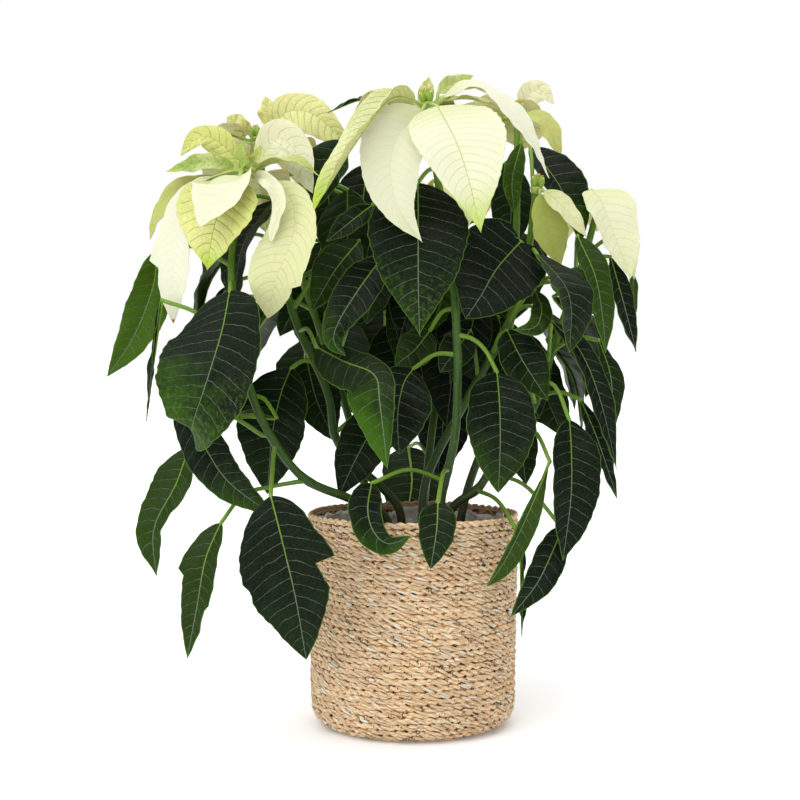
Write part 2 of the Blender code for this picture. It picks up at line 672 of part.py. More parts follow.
def outer_leaf(number, draws):
    """A leaf that hangs on the outside of the plant and faces away from it, and its stem."""
    turn = (number * 0.618) % 1.0
    bearing = math.radians(OUTER_BEARINGS[0] + (OUTER_BEARINGS[1] - OUTER_BEARINGS[0]) * turn)
    levels, across, deep = np.array(OUTER_REACH, float).T
    height = levels[0] + (levels[-1] - levels[0]) * ((number * 0.755) % 1.0)
    reach = np.array([np.interp(height, levels, across), np.interp(height, levels, deep)])
    out = np.array([math.cos(bearing), math.sin(bearing), 0.0])
    base = np.array([*(OUTER_MIDDLE + out[:2] * reach), height])
    length = draws.uniform(*OUTER_LENGTH)
    droop = draws.uniform(0.5, 1.0)
    aside = np.array([-out[1], out[0], 0.0]) * draws.uniform(-0.25, 0.25) * length
    middle = base + out * length * (0.42 - 0.2 * droop) - [0, 0, length * (0.2 + 0.2 * droop)]
    tip = base + out * length * (0.6 - 0.35 * droop) + aside - [0, 0, length * (0.6 + 0.3 * droop)]
    half = length * draws.uniform(0.27, 0.32)
    place = min(STEMS, key=lambda stem: np.linalg.norm(stem_at(stem, height - 5)[:2] - base[:2]))
    face = tuple(out + np.array([0.0, 0.0, 0.6]))
    midrib = map(tuple, (base, middle, tip))
    return place, small_leaf(height - 5, midrib, (half, half), "ovate", face=face)


def filled_bract(place, number, draws):
    """A spreading bract out of the front view, placed by rule. Later ones are shorter and rise more."""
    wanted, first, last = BRACT_FILL[place]
    turn = (number * 0.618) % 1.0
    bearing = math.radians(first + (last - first) * turn)
    layer = min(1.0, number / (2 * wanted))
    length = BRACT_FILL_LENGTH[1] + (BRACT_FILL_LENGTH[0] - BRACT_FILL_LENGTH[1]) * layer
    droop = 0.75 - 0.6 * layer + draws.uniform(-0.1, 0.1)
    out = np.array([math.cos(bearing), math.sin(bearing), 0.0])
    up = np.array([0.0, 0.0, 1.0])
    base = hub_centre(place) + out * 10 + up * (2.5 * layer - 1.0)
    middle = base + out * length * 0.45 + up * length * (0.14 - 0.2 * droop)
    tip = base + out * length * 0.85 - up * length * 0.7 * droop
    half = length * draws.uniform(0.27, 0.33)
    face = tuple(out * 0.5 + up)
    return small_bract(map(tuple, (base, middle, tip)), (half, half), face=face)


def bud_places(place):
    """The axis of the small buds in the middle of a flower head, and their centres."""
    top, axis = stem_end(place)
    across = unit(np.cross(axis, [0.0, 1.0, 0.2]))
    other = np.cross(axis, across)
    base = top + axis * (2 * GAP + HUB_HEIGHT)
    centres = [base + axis * 0.62 * BUD_LENGTH]
    for k in range(BUDS - 1):
        angle = 2 * math.pi * k / (BUDS - 1) + 0.4
        out = across * math.cos(angle) + other * math.sin(angle)
        centres.append(base + out * BUD_SPREAD + axis * 0.5 * BUD_LENGTH)
    return axis, centres


def ovoid(centre, axis, radius, length, sides):
    """A small closed bud: a tube that swells in the middle."""
    steps = [-0.5, 0.0, 0.5]
    route = [centre + axis * length * step for step in steps]
    return tube(route, [0.4 * radius, radius, 0.35 * radius], sides)


def bud_solids(place):
    axis, centres = bud_places(place)
    return [ovoid(centre, axis, BUD_RADIUS, BUD_LENGTH, 4) for centre in centres]


def hub_solid(place):
    top, axis = stem_end(place)
    start = top + axis * GAP
    return tube([start, start + axis * HUB_HEIGHT], [HUB_RADIUS * 0.8, HUB_RADIUS], 6)


def stem_solid(place):
    points = stem_points(place)
    route = np.vstack([points[0], smooth(points[2:], STEM_RUNS - 1)])
    radii = np.linspace(STEM_FOOT_RADIUS, STEM_TIP_RADIUS, len(route))
    return tube(route, radii, STEM_SIDES)


def first_things():
    """What stands fixed before any blade is placed."""
    kept = [("basket", "basket", tree_of(basket_solid()), None)]
    for place in STEMS:
        kept.append((place, "stem", tree_of(stem_solid(place)), None))
        kept.append((place, "hub", tree_of(hub_solid(place)), None))
        kept += [(place, "buds", tree_of(solid), None) for solid in bud_solids(place)]
    return kept


def in_outline(blade):
    """Whether a blade at the back stays behind the outline that the front view shows."""
    points = blade_surface(blade, blade.rows, blade.columns, 0).reshape(-1, 3)
    nearer = VIEW_DISTANCE / (VIEW_DISTANCE + points[:, 1])
    across = points[:, 0] * nearer
    height = VIEW_HEIGHT + (points[:, 2] - VIEW_HEIGHT) * nearer
    levels, left, right = np.array(FRONT_OUTLINE).T
    inside = (across > np.interp(height, levels, left)) & (across < np.interp(height, levels, right))
    return bool(inside.all())


def settled():
    """Every leaf and bract by place, each swung in depth, or left out by rule, so that none cross."""
    kept = first_things()
    placed = {kind: {place: [] for place in STEMS} for kind in ("bracts", "leaves")}
    crossing = []

    def seat(kind, place, blade, number):
        phase = 2.4 * number + len(place)
        for shift in shifts():
            trial = swung(blade, shift)
            solid = roomy_blade(place, trial, phase)
            whole = tree_of(solid)
            spread = tree_of(spread_part(place, solid)) if kind == "bracts" else None
            if is_clear(place, kind, whole, spread, kept):
                kept.append((place, kind, whole, spread))
                placed[kind][place].append((trial, phase))
                return True
        return False

    for kind, table in (("bracts", BRACTS), ("leaves", LEAVES)):
        for place in STEMS:
            for number, blade in enumerate(table[place]):
                if not seat(kind, place, blade, number):
                    crossing.append((kind, place, number))
    draws = np.random.default_rng(SEED)
    for place, (wanted, _, _) in BRACT_FILL.items():
        seated = 0
        for number in range(BRACT_TRIES * wanted):
            blade = filled_bract(place, number, draws)
            if seated < wanted and in_outline(blade):
                seated += seat("bracts", place, blade, number + 50)
    outer = (outer_leaf, OUTER_LEAVES, OUTER_TRIES)
    for rule, wanted, tries in ((inner_leaf, INNER_LEAVES, INNER_TRIES), outer):
        seated = 0
        for number in range(tries):
            place, blade = rule(number, draws)
            if seated < wanted and in_outline(blade):
                seated += seat("leaves", place, blade, number + 20)
    return placed, crossing


def dent(height, bearing):
    """How far the basket's left side is pushed in."""
    sideways = max(0.0, math.cos(math.radians(bearing - DENT_BEARING)))
    level = math.exp(-(((height - DENT_HEIGHT) / DENT_SPREAD) ** 2))
    return DENT_DEPTH * level * sideways**2


def wall_radius(height):
    """The basket's outer radius, rounded in at the foot."""
    share = height / BASKET_HEIGHT
    radius = BASKET_FOOT_RADIUS + (BASKET_TOP_RADIUS - BASKET_FOOT_RADIUS) * share
    below = max(0.0, FOOT_ROUNDING - height)
    return radius - FOOT_ROUNDING + math.sqrt(FOOT_ROUNDING**2 - below**2)


def inner_radius(height):
    share = height / BASKET_HEIGHT
    radius = BASKET_FOOT_RADIUS + (BASKET_TOP_RADIUS - BASKET_FOOT_RADIUS) * share - BASKET_WALL
    below = min(INNER_ROUNDING, max(0.0, BASKET_FLOOR + INNER_ROUNDING - height))
    return radius - INNER_ROUNDING + math.sqrt(INNER_ROUNDING**2 - below**2)


def turned(profile, segments, shape=None):
    """A closed solid round the Z axis from an (r, z) profile whose ends lie on the axis."""
    points = [(0.0, 0.0, profile[0][1])]
    ring = profile[1:-1]
    for radius, height in ring:
        for k in range(segments):
            bearing = 360 * k / segments
            r, z = shape(radius, height, bearing) if shape else (radius, height)
            angle = math.radians(bearing)
            points.append((r * math.cos(angle), r * math.sin(angle), z))
    points.append((0.0, 0.0, profile[-1][1]))
    last = len(points) - 1
    faces = []
    for k in range(segments):
        after = (k + 1) % segments
        faces.append((0, 1 + after, 1 + k))
        for level in range(len(ring) - 1):
            a, b = 1 + level * segments + k, 1 + level * segments + after
            faces += [(a, b, b + segments), (a, b + segments, a + segments)]
        top = 1 + (len(ring) - 1) * segments
        faces.append((last, top + k, top + after))
    return outward(np.array(points), faces)


def basket_solid():
    pitch = BASKET_HEIGHT / COILS
    profile = [(0, 0), (wall_radius(0), 0)]
    for coil in range(COILS):
        middle = (coil + 0.5) * pitch
        profile.append((wall_radius(middle), middle))
        if coil < COILS - 1:
            seam = (coil + 1) * pitch
            profile.append((wall_radius(seam) - COIL_RELIEF, seam))
    rim = BASKET_HEIGHT
    profile += [(wall_radius(rim) - 1.5, rim - 1), (wall_radius(rim) - 3, rim)]
    profile += [(inner_radius(rim) + 1.2, rim - 1), (inner_radius(rim), rim - 4)]
    profile += [(inner_radius(level), level) for level in reversed(INNER_LEVELS)]
    profile += [(inner_radius(BASKET_FLOOR), BASKET_FLOOR), (0, BASKET_FLOOR)]

    def shape(radius, height, bearing):
        return radius - dent(height, bearing), height

    return turned(profile, BASKET_SEGMENTS, shape)


def liner_edge(bearing):
    angle = math.radians(bearing)
    return 1.6 * math.sin(5 * angle + 1.0) + 1.2 * math.sin(9 * angle)


def liner_solid():
    outer = [(inner_radius(level) - LINER_CLEARANCE, level) for level in INNER_LEVELS]
    top = inner_radius(LINER_TOP) - LINER_CLEARANCE
    floor = LINER_FOOT
    foot = inner_radius(BASKET_FLOOR) - LINER_CLEARANCE
    profile = [(0, floor), (foot, floor), *outer, (top, LINER_TOP), (top - FILM, LINER_TOP)]
    profile += [(radius - FILM, level) for radius, level in reversed(outer)]
    profile += [(foot - 0.3, floor + FILM), (0, floor + FILM)]

    def shape(radius, height, bearing):
        raised = liner_edge(bearing) if height == LINER_TOP else 0
        return radius - dent(height, bearing), height + raised

    return turned(profile, LINER_SEGMENTS, shape)


def pot_solid():
    lip = POT_TOP - POT_LIP_DROP
    floor = POT_FOOT + POT_WALL
    profile = [(0, POT_FOOT), (POT_FOOT_RADIUS, POT_FOOT), (POT_TOP_RADIUS, lip)]
    profile += [(POT_LIP_RADIUS, lip), (POT_LIP_RADIUS, POT_TOP)]
    profile += [(POT_TOP_RADIUS - POT_WALL + 1, POT_TOP), (POT_TOP_RADIUS - POT_WALL, lip)]
    profile += [(POT_FOOT_RADIUS - POT_WALL, floor), (0, floor)]
    return turned(profile, POT_SEGMENTS)


def soil_solid():
    lip = POT_TOP - POT_LIP_DROP
    foot = POT_FOOT + POT_WALL + 0.4
    inside = POT_WALL + 0.5
    slope = (POT_TOP_RADIUS - POT_FOOT_RADIUS) / (lip - POT_FOOT)
    top_radius = POT_FOOT_RADIUS - inside + slope * (SOIL_TOP - POT_FOOT)
    profile = [(0, foot), (POT_FOOT_RADIUS - inside, foot), (top_radius, SOIL_TOP - 1)]
    profile += [(top_radius - 8, SOIL_TOP), (0, SOIL_TOP)]
    return turned(profile, POT_SEGMENTS)


def plain_material(name, colour, roughness):
    material = bpy.data.materials.new(name)
    material.use_nodes = True
    shader = material.node_tree.nodes["Principled BSDF"]
    shader.inputs["Base Color"].default_value = (*colour, 1)
    shader.inputs["Roughness"].default_value = roughness
    material.diffuse_color = (*colour, 1)
    return material


def add_mesh(name, solid, material=None, origin=(0.0, 0.0, 0.0)):
    """An object whose own origin lies at the given point."""
    points, faces = solid
    mesh = bpy.data.meshes.new(name)
    mesh.from_pydata(((points - origin) * MM).tolist(), [], faces.tolist())
    if material:
        mesh.materials.append(material)
    item = bpy.data.objects.new(name, mesh)
    item.location = np.array(origin) * MM
    bpy.context.scene.collection.objects.link(item)
    return item


def add_empty(name):
    empty = bpy.data.objects.new(name, None)
    bpy.context.scene.collection.objects.link(empty)
    return empty


def mesh_arrays(mesh):
    mesh.calc_loop_triangles()
    points = np.empty(len(mesh.vertices) * 3, np.float32)
    mesh.vertices.foreach_get("co", points)
    faces = np.empty(len(mesh.loop_triangles) * 3, np.int32)
    mesh.loop_triangles.foreach_get("vertices", faces)
    return points.reshape(-1, 3).astype(float) / MM, faces.reshape(-1, 3)


def largest_body(points, faces):
    """The one body that holds together, without scraps and without walls round a sealed hollow."""
    label = np.arange(len(points))
    while True:
        low = label[faces].min(axis=1)
        smaller = label.copy()
        for k in range(3):
            np.minimum.at(smaller, faces[:, k], low)
        if (smaller == label).all():
            break
        label = smaller
    owner = label[faces[:, 0]]
    bodies = [faces[owner == body] for body in np.unique(owner)]
    best = max(bodies, key=lambda body: volume(points, body))
    used, renumbered = np.unique(best, return_inverse=True)
    return points[used], renumbered.reshape(-1, 3)


def combined(name, solids, operation="UNION"):
    """One body: the first solid joined with, or cut by, the others."""
    base = add_mesh(name, solids[0])
    others = bpy.data.collections.new(name + "_others")
    bpy.context.scene.collection.children.link(others)
    for number, solid in enumerate(solids[1:]):
        item = add_mesh(f"{name}_{number}", solid)
        bpy.context.scene.collection.objects.unlink(item)
        others.objects.link(item)
    modifier = base.modifiers.new("join", "BOOLEAN")
    modifier.operation = operation
    modifier.operand_type = "COLLECTION"
    modifier.collection = others
    modifier.solver = "MANIFOLD"
    bpy.context.view_layer.update()
    evaluated = base.evaluated_get(bpy.context.evaluated_depsgraph_get())
    body = largest_body(*mesh_arrays(evaluated.to_mesh()))
    evaluated.to_mesh_clear()
    for item in [*others.objects, base]:
        bpy.data.objects.remove(item, do_unlink=True)
    bpy.data.collections.remove(others)
    return body


def build_container(empty):
    seagrass = plain_material("seagrass", (0.61, 0.41, 0.24), 0.9)
    film = plain_material("film", (0.55, 0.53, 0.52), 0.3)
    plastic = plain_material("pot_plastic", (0.03, 0.025, 0.022), 0.5)
    earth = plain_material("soil", (0.035, 0.022, 0.014), 1.0)
    holes = []
    for place in STEMS:
        x, y, _ = stem_points(place)[0]
        route = [(x, y, SOIL_TOP - HOLE_DEPTH), (x, y, SOIL_TOP + 5)]
        holes.append(tube(route, [HOLE_RADIUS] * 2, 6))
    drilled = combined("soil", [soil_solid(), *holes], "DIFFERENCE")
    for item in (
        add_mesh("basket", basket_solid(), seagrass),
        add_mesh("liner", liner_solid(), film),
        add_mesh("nursery_pot", pot_solid(), plastic),
        add_mesh("soil", drilled, earth),
    ):
        item.parent = empty
        item.data.shade_smooth()
        item.data.set_sharp_from_angle(angle=math.radians(40))


def build_plant(empty):
    green = plain_material("leaf", (0.022, 0.045, 0.018), 0.45)
    cream = plain_material("bract", (0.84, 0.84, 0.66), 0.55)
    bud_green = plain_material("bud", (0.25, 0.32, 0.05), 0.5)
    placed, _ = settled()
    for place in STEMS:
        leafy = [stem_solid(place)]
        for blade, phase in placed["leaves"][place]:
            leafy.append(whole_blade(place, blade, LEAF_THICKNESS, phase))
        bloom = [hub_solid(place)]
        for blade, phase in placed["bracts"][place]:
            bloom.append(whole_blade(place, blade, BRACT_THICKNESS, phase))
        foot = stem_points(place)[0]
        head = hub_centre(place)
        for name, solids, material, origin in (
            (f"leafy_stem_{place}", leafy, green, foot),
            (f"bloom_{place}", bloom, cream, head),
            (f"buds_{place}", bud_solids(place), bud_green, head),
        ):
            item = add_mesh(name, combined(name, solids), material, origin)
            item.parent = empty


def main():
    clear_scene()
    empty = add_empty("poinsettia")
    build_container(empty)
    build_plant(empty)


main()
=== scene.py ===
"""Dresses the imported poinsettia: veined leaves and bracts, a twisted rope basket and its film liner.

Lengths are in millimetres here and turned to metres where a mesh is made. The layout of the plant
repeats the part's own tables and rules, and how far it swings each blade in depth is written out
here, so each fine piece lies where its solid does.
"""

import math
from dataclasses import dataclass, replace

import bpy
import numpy as np
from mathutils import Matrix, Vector


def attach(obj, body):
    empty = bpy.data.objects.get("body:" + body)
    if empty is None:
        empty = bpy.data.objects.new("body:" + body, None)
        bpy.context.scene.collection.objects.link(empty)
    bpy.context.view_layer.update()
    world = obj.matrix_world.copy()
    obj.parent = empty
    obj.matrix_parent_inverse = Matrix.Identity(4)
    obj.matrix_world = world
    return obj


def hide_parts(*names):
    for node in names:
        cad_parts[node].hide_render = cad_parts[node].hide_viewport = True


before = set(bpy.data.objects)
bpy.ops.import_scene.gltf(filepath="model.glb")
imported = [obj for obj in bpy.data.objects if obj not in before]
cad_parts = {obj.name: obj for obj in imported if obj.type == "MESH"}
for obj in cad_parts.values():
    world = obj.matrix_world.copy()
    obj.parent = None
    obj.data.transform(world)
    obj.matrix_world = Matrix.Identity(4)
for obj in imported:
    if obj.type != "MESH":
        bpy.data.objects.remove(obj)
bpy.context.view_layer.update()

MM = 0.001
GAP = 0.3

# Basket
BASKET_HEIGHT = 154.0
BASKET_TOP_RADIUS = 76.8
BASKET_FOOT_RADIUS = 74.0
BASKET_WALL = 6.0
BASKET_FLOOR = 5.0
FOOT_ROUNDING = 16.0
INNER_ROUNDING = 12.0
DENT_DEPTH = 6.5
DENT_HEIGHT = 98.0
DENT_SPREAD = 23.0
DENT_BEARING = 185.0

# Film liner
FILM = 0.8
LINER_CLEARANCE = 0.9
LINER_TOP = 149.0
LINER_FOOT = BASKET_FLOOR + 0.4

# Grow pot and soil
POT_FOOT_RADIUS = 48.0
POT_TOP_RADIUS = 60.0
POT_LIP_DROP = 8.0
POT_WALL = 1.4
POT_TOP = 134.0
POT_FOOT = LINER_FOOT + FILM + 0.4
SOIL_TOP = 126.0
HOLE_DEPTH = 22.0

# Stems, stalks and flower heads
STEM_FOOT_RADIUS = 3.3
STEM_TIP_RADIUS = 2.5
STALK_RADIUS = 1.5
BRACT_STALK_RADIUS = 1.2
HUB_RADIUS = 5.2
HUB_HEIGHT = 4.0
BRACT_STALK_FOOT = 2.4
BRACT_STALK_TURN = 7.2
BUD_RADIUS = 2.5
BUD_SPREAD = 2.9
BUD_LENGTH = 8.0
BUDS = 4

# Blades
SWEEP = 0.22

FRONT = (0.0, -1.0, 0.25)
UP = (0.0, -0.25, 1.0)
# A blade in the front view turns to its own side by this share of its distance from the middle.
TURN_OUT = 1 / 310

# How a blade's width grows from its base and narrows to its tip, as powers of the way along it.
FORMS = {
    "heart": (0.34, 0.92),
    "pointed": (0.55, 1.25),
    "ovate": (0.55, 1.0),
    "lance": (0.8, 1.15),
    "late": (1.3, 0.95),
    "strap": (0.5, 0.6),
}


@dataclass(frozen=True)
class Blade:
    """A leaf or bract: its midrib from base to tip, and its reach to the left and right of it."""

    midrib: tuple
    half: tuple
    form: str = "ovate"
    face: tuple = FRONT
    fold: float = 12.0
    wave: float = 1.5
    lobe: float = 0.0
    teeth: tuple = ()
    narrow: bool = False
    stem_height: float = 0.0
    via: tuple = ()


def front_blade(midrib, half, form, **more):
    """A blade that faces the front and, the further it is from the middle, also its own side."""
    midrib = tuple(midrib)
    aside = sum(point[0] for point in midrib) / len(midrib)
    more.setdefault("face", (aside * TURN_OUT, *FRONT[1:]))
    return Blade(midrib, half, form, **more)


def leaf(stem_height, midrib, half, form="ovate", **more):
    return front_blade(midrib, half, form, stem_height=stem_height, **more)


def narrow_leaf(stem_height, midrib, half, form="ovate", **more):
    return leaf(stem_height, midrib, half, form, narrow=True, **more)


def small_leaf(stem_height, midrib, half, form="lance", **more):
    return narrow_leaf(stem_height, midrib, half, form, **more)


def bract(midrib, half, form="ovate", **more):
    return front_blade(midrib, half, form, **more)


def narrow_bract(midrib, half, form="ovate", **more):
    return bract(midrib, half, form, narrow=True, **more)


# Each stem stands in the soil at foot, runs through the points and ends under its flower head.
STEMS = {
    "left": {
        "foot": (-18, -14),
        "route": [(-20, -18, 152), (-45, -30, 166), (-76, -42, 181), (-98, -48, 209), (-112, -50, 240),
                  (-120, -48, 278), (-126, -44, 313), (-126, -38, 345), (-119, -31, 393)],
    },
    "centre": {
        "foot": (20, -24),
        "route": [(20, -26, 165), (29, -34, 208), (31, -40, 250), (30, -42, 285), (27, -43, 327),
                  (18, -44, 382), (10, -45, 438)],
    },
    "upper_left": {
        "foot": (-10, 14),
        "route": [(-12, 12, 158), (-53, 8, 200), (-61, 8, 235), (-69, 10, 256), (-86, 14, 293),
                  (-102, 26, 352), (-116, 40, 425)],
    },
    "upper_right": {
        "foot": (34, 28),
        "route": [(41, 30, 167), (64, 36, 234), (75, 42, 308), (78, 46, 363), (79, 50, 444)],
    },
    "right": {
        "foot": (26, -4),
        "route": [(28, -6, 156), (46, -6, 170), (54, -6, 181), (63, -4, 192), (85, 0, 224),
                  (104, 6, 278), (122, 10, 328), (134, 13, 370)],
    },
    "inner_right": {
        "foot": (8, 8),
        "route": [(10, 12, 176), (39, 10, 234), (63, 2, 278), (79, -4, 318), (88, -10, 383)],
    },
    "back_left": {
        "foot": (-30, 36),
        "route": [(-36, 48, 168), (-52, 68, 230), (-80, 88, 310), (-105, 98, 380)],
    },
    "back": {
        "foot": (6, 40),
        "route": [(10, 50, 168), (18, 72, 230), (28, 94, 310), (34, 108, 392)],
    },
}

# The leaves that show from the front, by stem. The first number is the height at which the stalk
# leaves the stem.
LEAVES = {
    "left": [
        leaf(318, [(-126, -60, 312), (-129, -80, 285), (-138, -92, 251), (-148, -88, 222),
            (-149, -77, 214)], (38, 37), "strap", wave=2.0, fold=8),
        narrow_leaf(330, [(-182, -20, 341), (-184, -28, 315), (-197, -30, 281), (-217, -26, 252)],
            (15, 16), "ovate", fold=18, face=(0.3, -1.0, 0.3)),
        small_leaf(262, [(-175, -50, 306), (-179, -54, 271), (-185, -52, 222)], (6, 6),
            face=(-1.0, -0.4, 0.0)),
        leaf(212, [(-162, -62, 236), (-147, -68, 213), (-127, -74, 183), (-95, -78, 159)],
            (16, 16), "ovate", via=((-105, -47, 212), (-120, -50, 222), (-142, -54, 234))),
        leaf(226, [(-157, -46, 203), (-165, -52, 178), (-180, -56, 147), (-179, -54, 114)],
            (18, 12), "ovate", wave=2.5),
        leaf(206, [(-96, -90, 174), (-89, -96, 149), (-79, -98, 107), (-72, -94, 64)], (32, 28),
            "ovate", teeth=((-1, 0.42, 0.05), (1, 0.36, 0.28)), fold=10,
            via=((-97, -56, 196),)),
        narrow_leaf(180, [(-132, -66, 153), (-142, -72, 128), (-148, -74, 94), (-155, -70, 60)], (15, 11),
            "ovate", teeth=((-1, 0.34, 0.14), (1, 0.56, 0.2)),
            via=((-100, -48, 176), (-118, -56, 171))),
        small_leaf(240, [(-97, -22, 223), (-116, -26, 224), (-137, -30, 224)], (10, 10), face=UP,
            fold=40),
    ],
    "upper_left": [
        leaf(262, [(-88, -4, 258), (-95, -10, 239), (-101, -12, 210), (-105, -8, 167)], (27, 27)),
        leaf(285, [(-68, -36, 273), (-48, -50, 263), (-27, -64, 254), (-23, -72, 234),
            (-18, -70, 190)], (25, 12), "ovate", wave=2.5, face=(0.1, -1.0, 0.5)),
        narrow_leaf(210, [(-15, 0, 231), (-29, -10, 214), (-41, -18, 193), (-53, -20, 167)], (19, 20)),
        small_leaf(300, [(-38, -18, 349), (-55, -22, 328), (-72, -24, 299)], (16, 16), "ovate"),
        small_leaf(352, [(-52, -5, 422), (-64, -10, 396), (-68, -12, 373)], (16, 16), "ovate"),
    ],
    "centre": [
        narrow_leaf(345, [(-21, -36, 337), (-36, -48, 316), (-51, -54, 292), (-55, -54, 277),
            (-47, -50, 267)], (15, 15), "ovate"),
        leaf(398, [(3, -64, 387), (3, -82, 355), (3, -86, 318), (4, -80, 281)], (34, 34), "pointed",
            fold=7, wave=1.2),
        narrow_leaf(268, [(0, -24, 258), (-7, -32, 247), (-11, -38, 226), (-10, -38, 198)], (18, 24)),
        narrow_leaf(186, [(16, -88, 169), (15, -94, 151), (11, -94, 125)], (13, 13), "heart"),
        narrow_leaf(178, [(-29, -66, 180), (-31, -88, 164), (-27, -93, 150), (-17, -93, 142),
            (-2, -90, 147)], (14, 10), "ovate", fold=20, face=(0.0, -1.0, 0.1)),
        small_leaf(430, [(-9, -20, 444), (-34, -16, 450), (-61, -14, 440)], (6, 6), face=UP),
        small_leaf(380, [(-29, -10, 375), (-45, -16, 362), (-62, -20, 348)], (9, 9)),
        small_leaf(300, [(12, -10, 285), (1, -16, 271), (-13, -20, 260)], (14, 14), "ovate"),
        leaf(282, [(58, -46, 256), (59, -62, 230), (59, -66, 203), (58, -62, 173)], (25, 25),
            "ovate", via=((41, -46, 279), (50, -46, 271))),
    ],
    "inner_right": [
        leaf(330, [(75, -38, 347), (58, -50, 328), (46, -54, 308), (36, -52, 293)], (33, 31),
            "heart", lobe=0.12),
        small_leaf(300, [(95, -38, 322), (112, -44, 325), (127, -46, 308)], (9, 9), face=UP),
        small_leaf(296, [(99, -20, 319), (111, -24, 307), (126, -26, 296)], (9, 9)),
        small_leaf(290, [(85, -28, 313), (89, -36, 299), (84, -40, 287), (69, -42, 285)], (8, 8)),
        narrow_leaf(372, [(86, -22, 419), (104, -36, 393), (115, -40, 370), (122, -38, 348)], (12, 20),
            "ovate"),
        small_leaf(250, [(41, -8, 285), (30, -14, 270), (19, -16, 255)], (13, 13), "ovate"),
        small_leaf(268, [(66, -10, 285), (76, -20, 264), (94, -22, 236)], (17, 17), "ovate"),
    ],
    "right": [
        narrow_leaf(318, [(115, -34, 351), (126, -44, 323), (131, -46, 296), (134, -42, 269)], (10, 12)),
        small_leaf(340, [(159, -2, 355), (160, -6, 314), (162, -6, 270)], (5, 5),
            face=(1.0, -0.4, 0.2)),
        small_leaf(330, [(141, -12, 338), (149, -18, 307), (159, -18, 270)], (9, 9)),
        narrow_leaf(262, [(97, -40, 291), (115, -54, 270), (128, -60, 237), (140, -58, 189)], (11, 10),
            "lance", fold=25),
        small_leaf(270, [(131, -28, 278), (139, -34, 250), (140, -34, 208)], (9, 9)),
        leaf(232, [(108, -50, 223), (108, -64, 199), (107, -70, 169), (102, -68, 127)], (16, 21),
            "ovate", via=((84, -24, 250), (99, -40, 246))),
        narrow_leaf(182, [(103, -52, 148), (96, -62, 134), (84, -72, 112), (66, -76, 90)], (12, 12)),
        small_leaf(212, [(93, -72, 195), (84, -82, 176), (72, -90, 151), (60, -92, 128),
            (49, -90, 112)], (4, 10), "late", via=((86, -44, 213),)),
        small_leaf(170, [(75, -32, 140), (75, -36, 109), (75, -36, 73)], (5, 5),
            face=(1.0, -0.5, 0.1)),
        small_leaf(236, [(119, -20, 236), (131, -24, 207), (145, -26, 165)], (8, 8)),
        small_leaf(205, [(73, -20, 221), (79, -28, 200), (83, -30, 172)], (13, 13), "ovate"),
    ],
    "upper_right": [
        small_leaf(400, [(80, 30, 424), (73, 26, 396), (75, 24, 369)], (8, 8)),
    ],
    "back_left": [],
    "back": [
        small_leaf(308, [(32, 66, 312), (31, 60, 262), (26, 60, 212)], (28, 28), "ovate"),
        small_leaf(296, [(-8, 64, 296), (-12, 58, 250), (-10, 60, 204)], (24, 24), "ovate"),
        small_leaf(284, [(66, 62, 296), (70, 56, 252), (66, 58, 210)], (23, 23), "ovate"),
        small_leaf(362, [(-34, 58, 412), (-38, 52, 372), (-36, 54, 330)], (23, 23), "ovate"),
        small_leaf(356, [(72, 68, 414), (75, 62, 380), (73, 64, 342)], (17, 17), "ovate"),
        small_leaf(262, [(22, 50, 250), (24, 44, 212), (20, 46, 172)], (22, 22), "ovate"),
        small_leaf(300, [(24, 34, 318), (20, 32, 302), (16, 34, 286)], (9, 9), "ovate"),
    ],
}

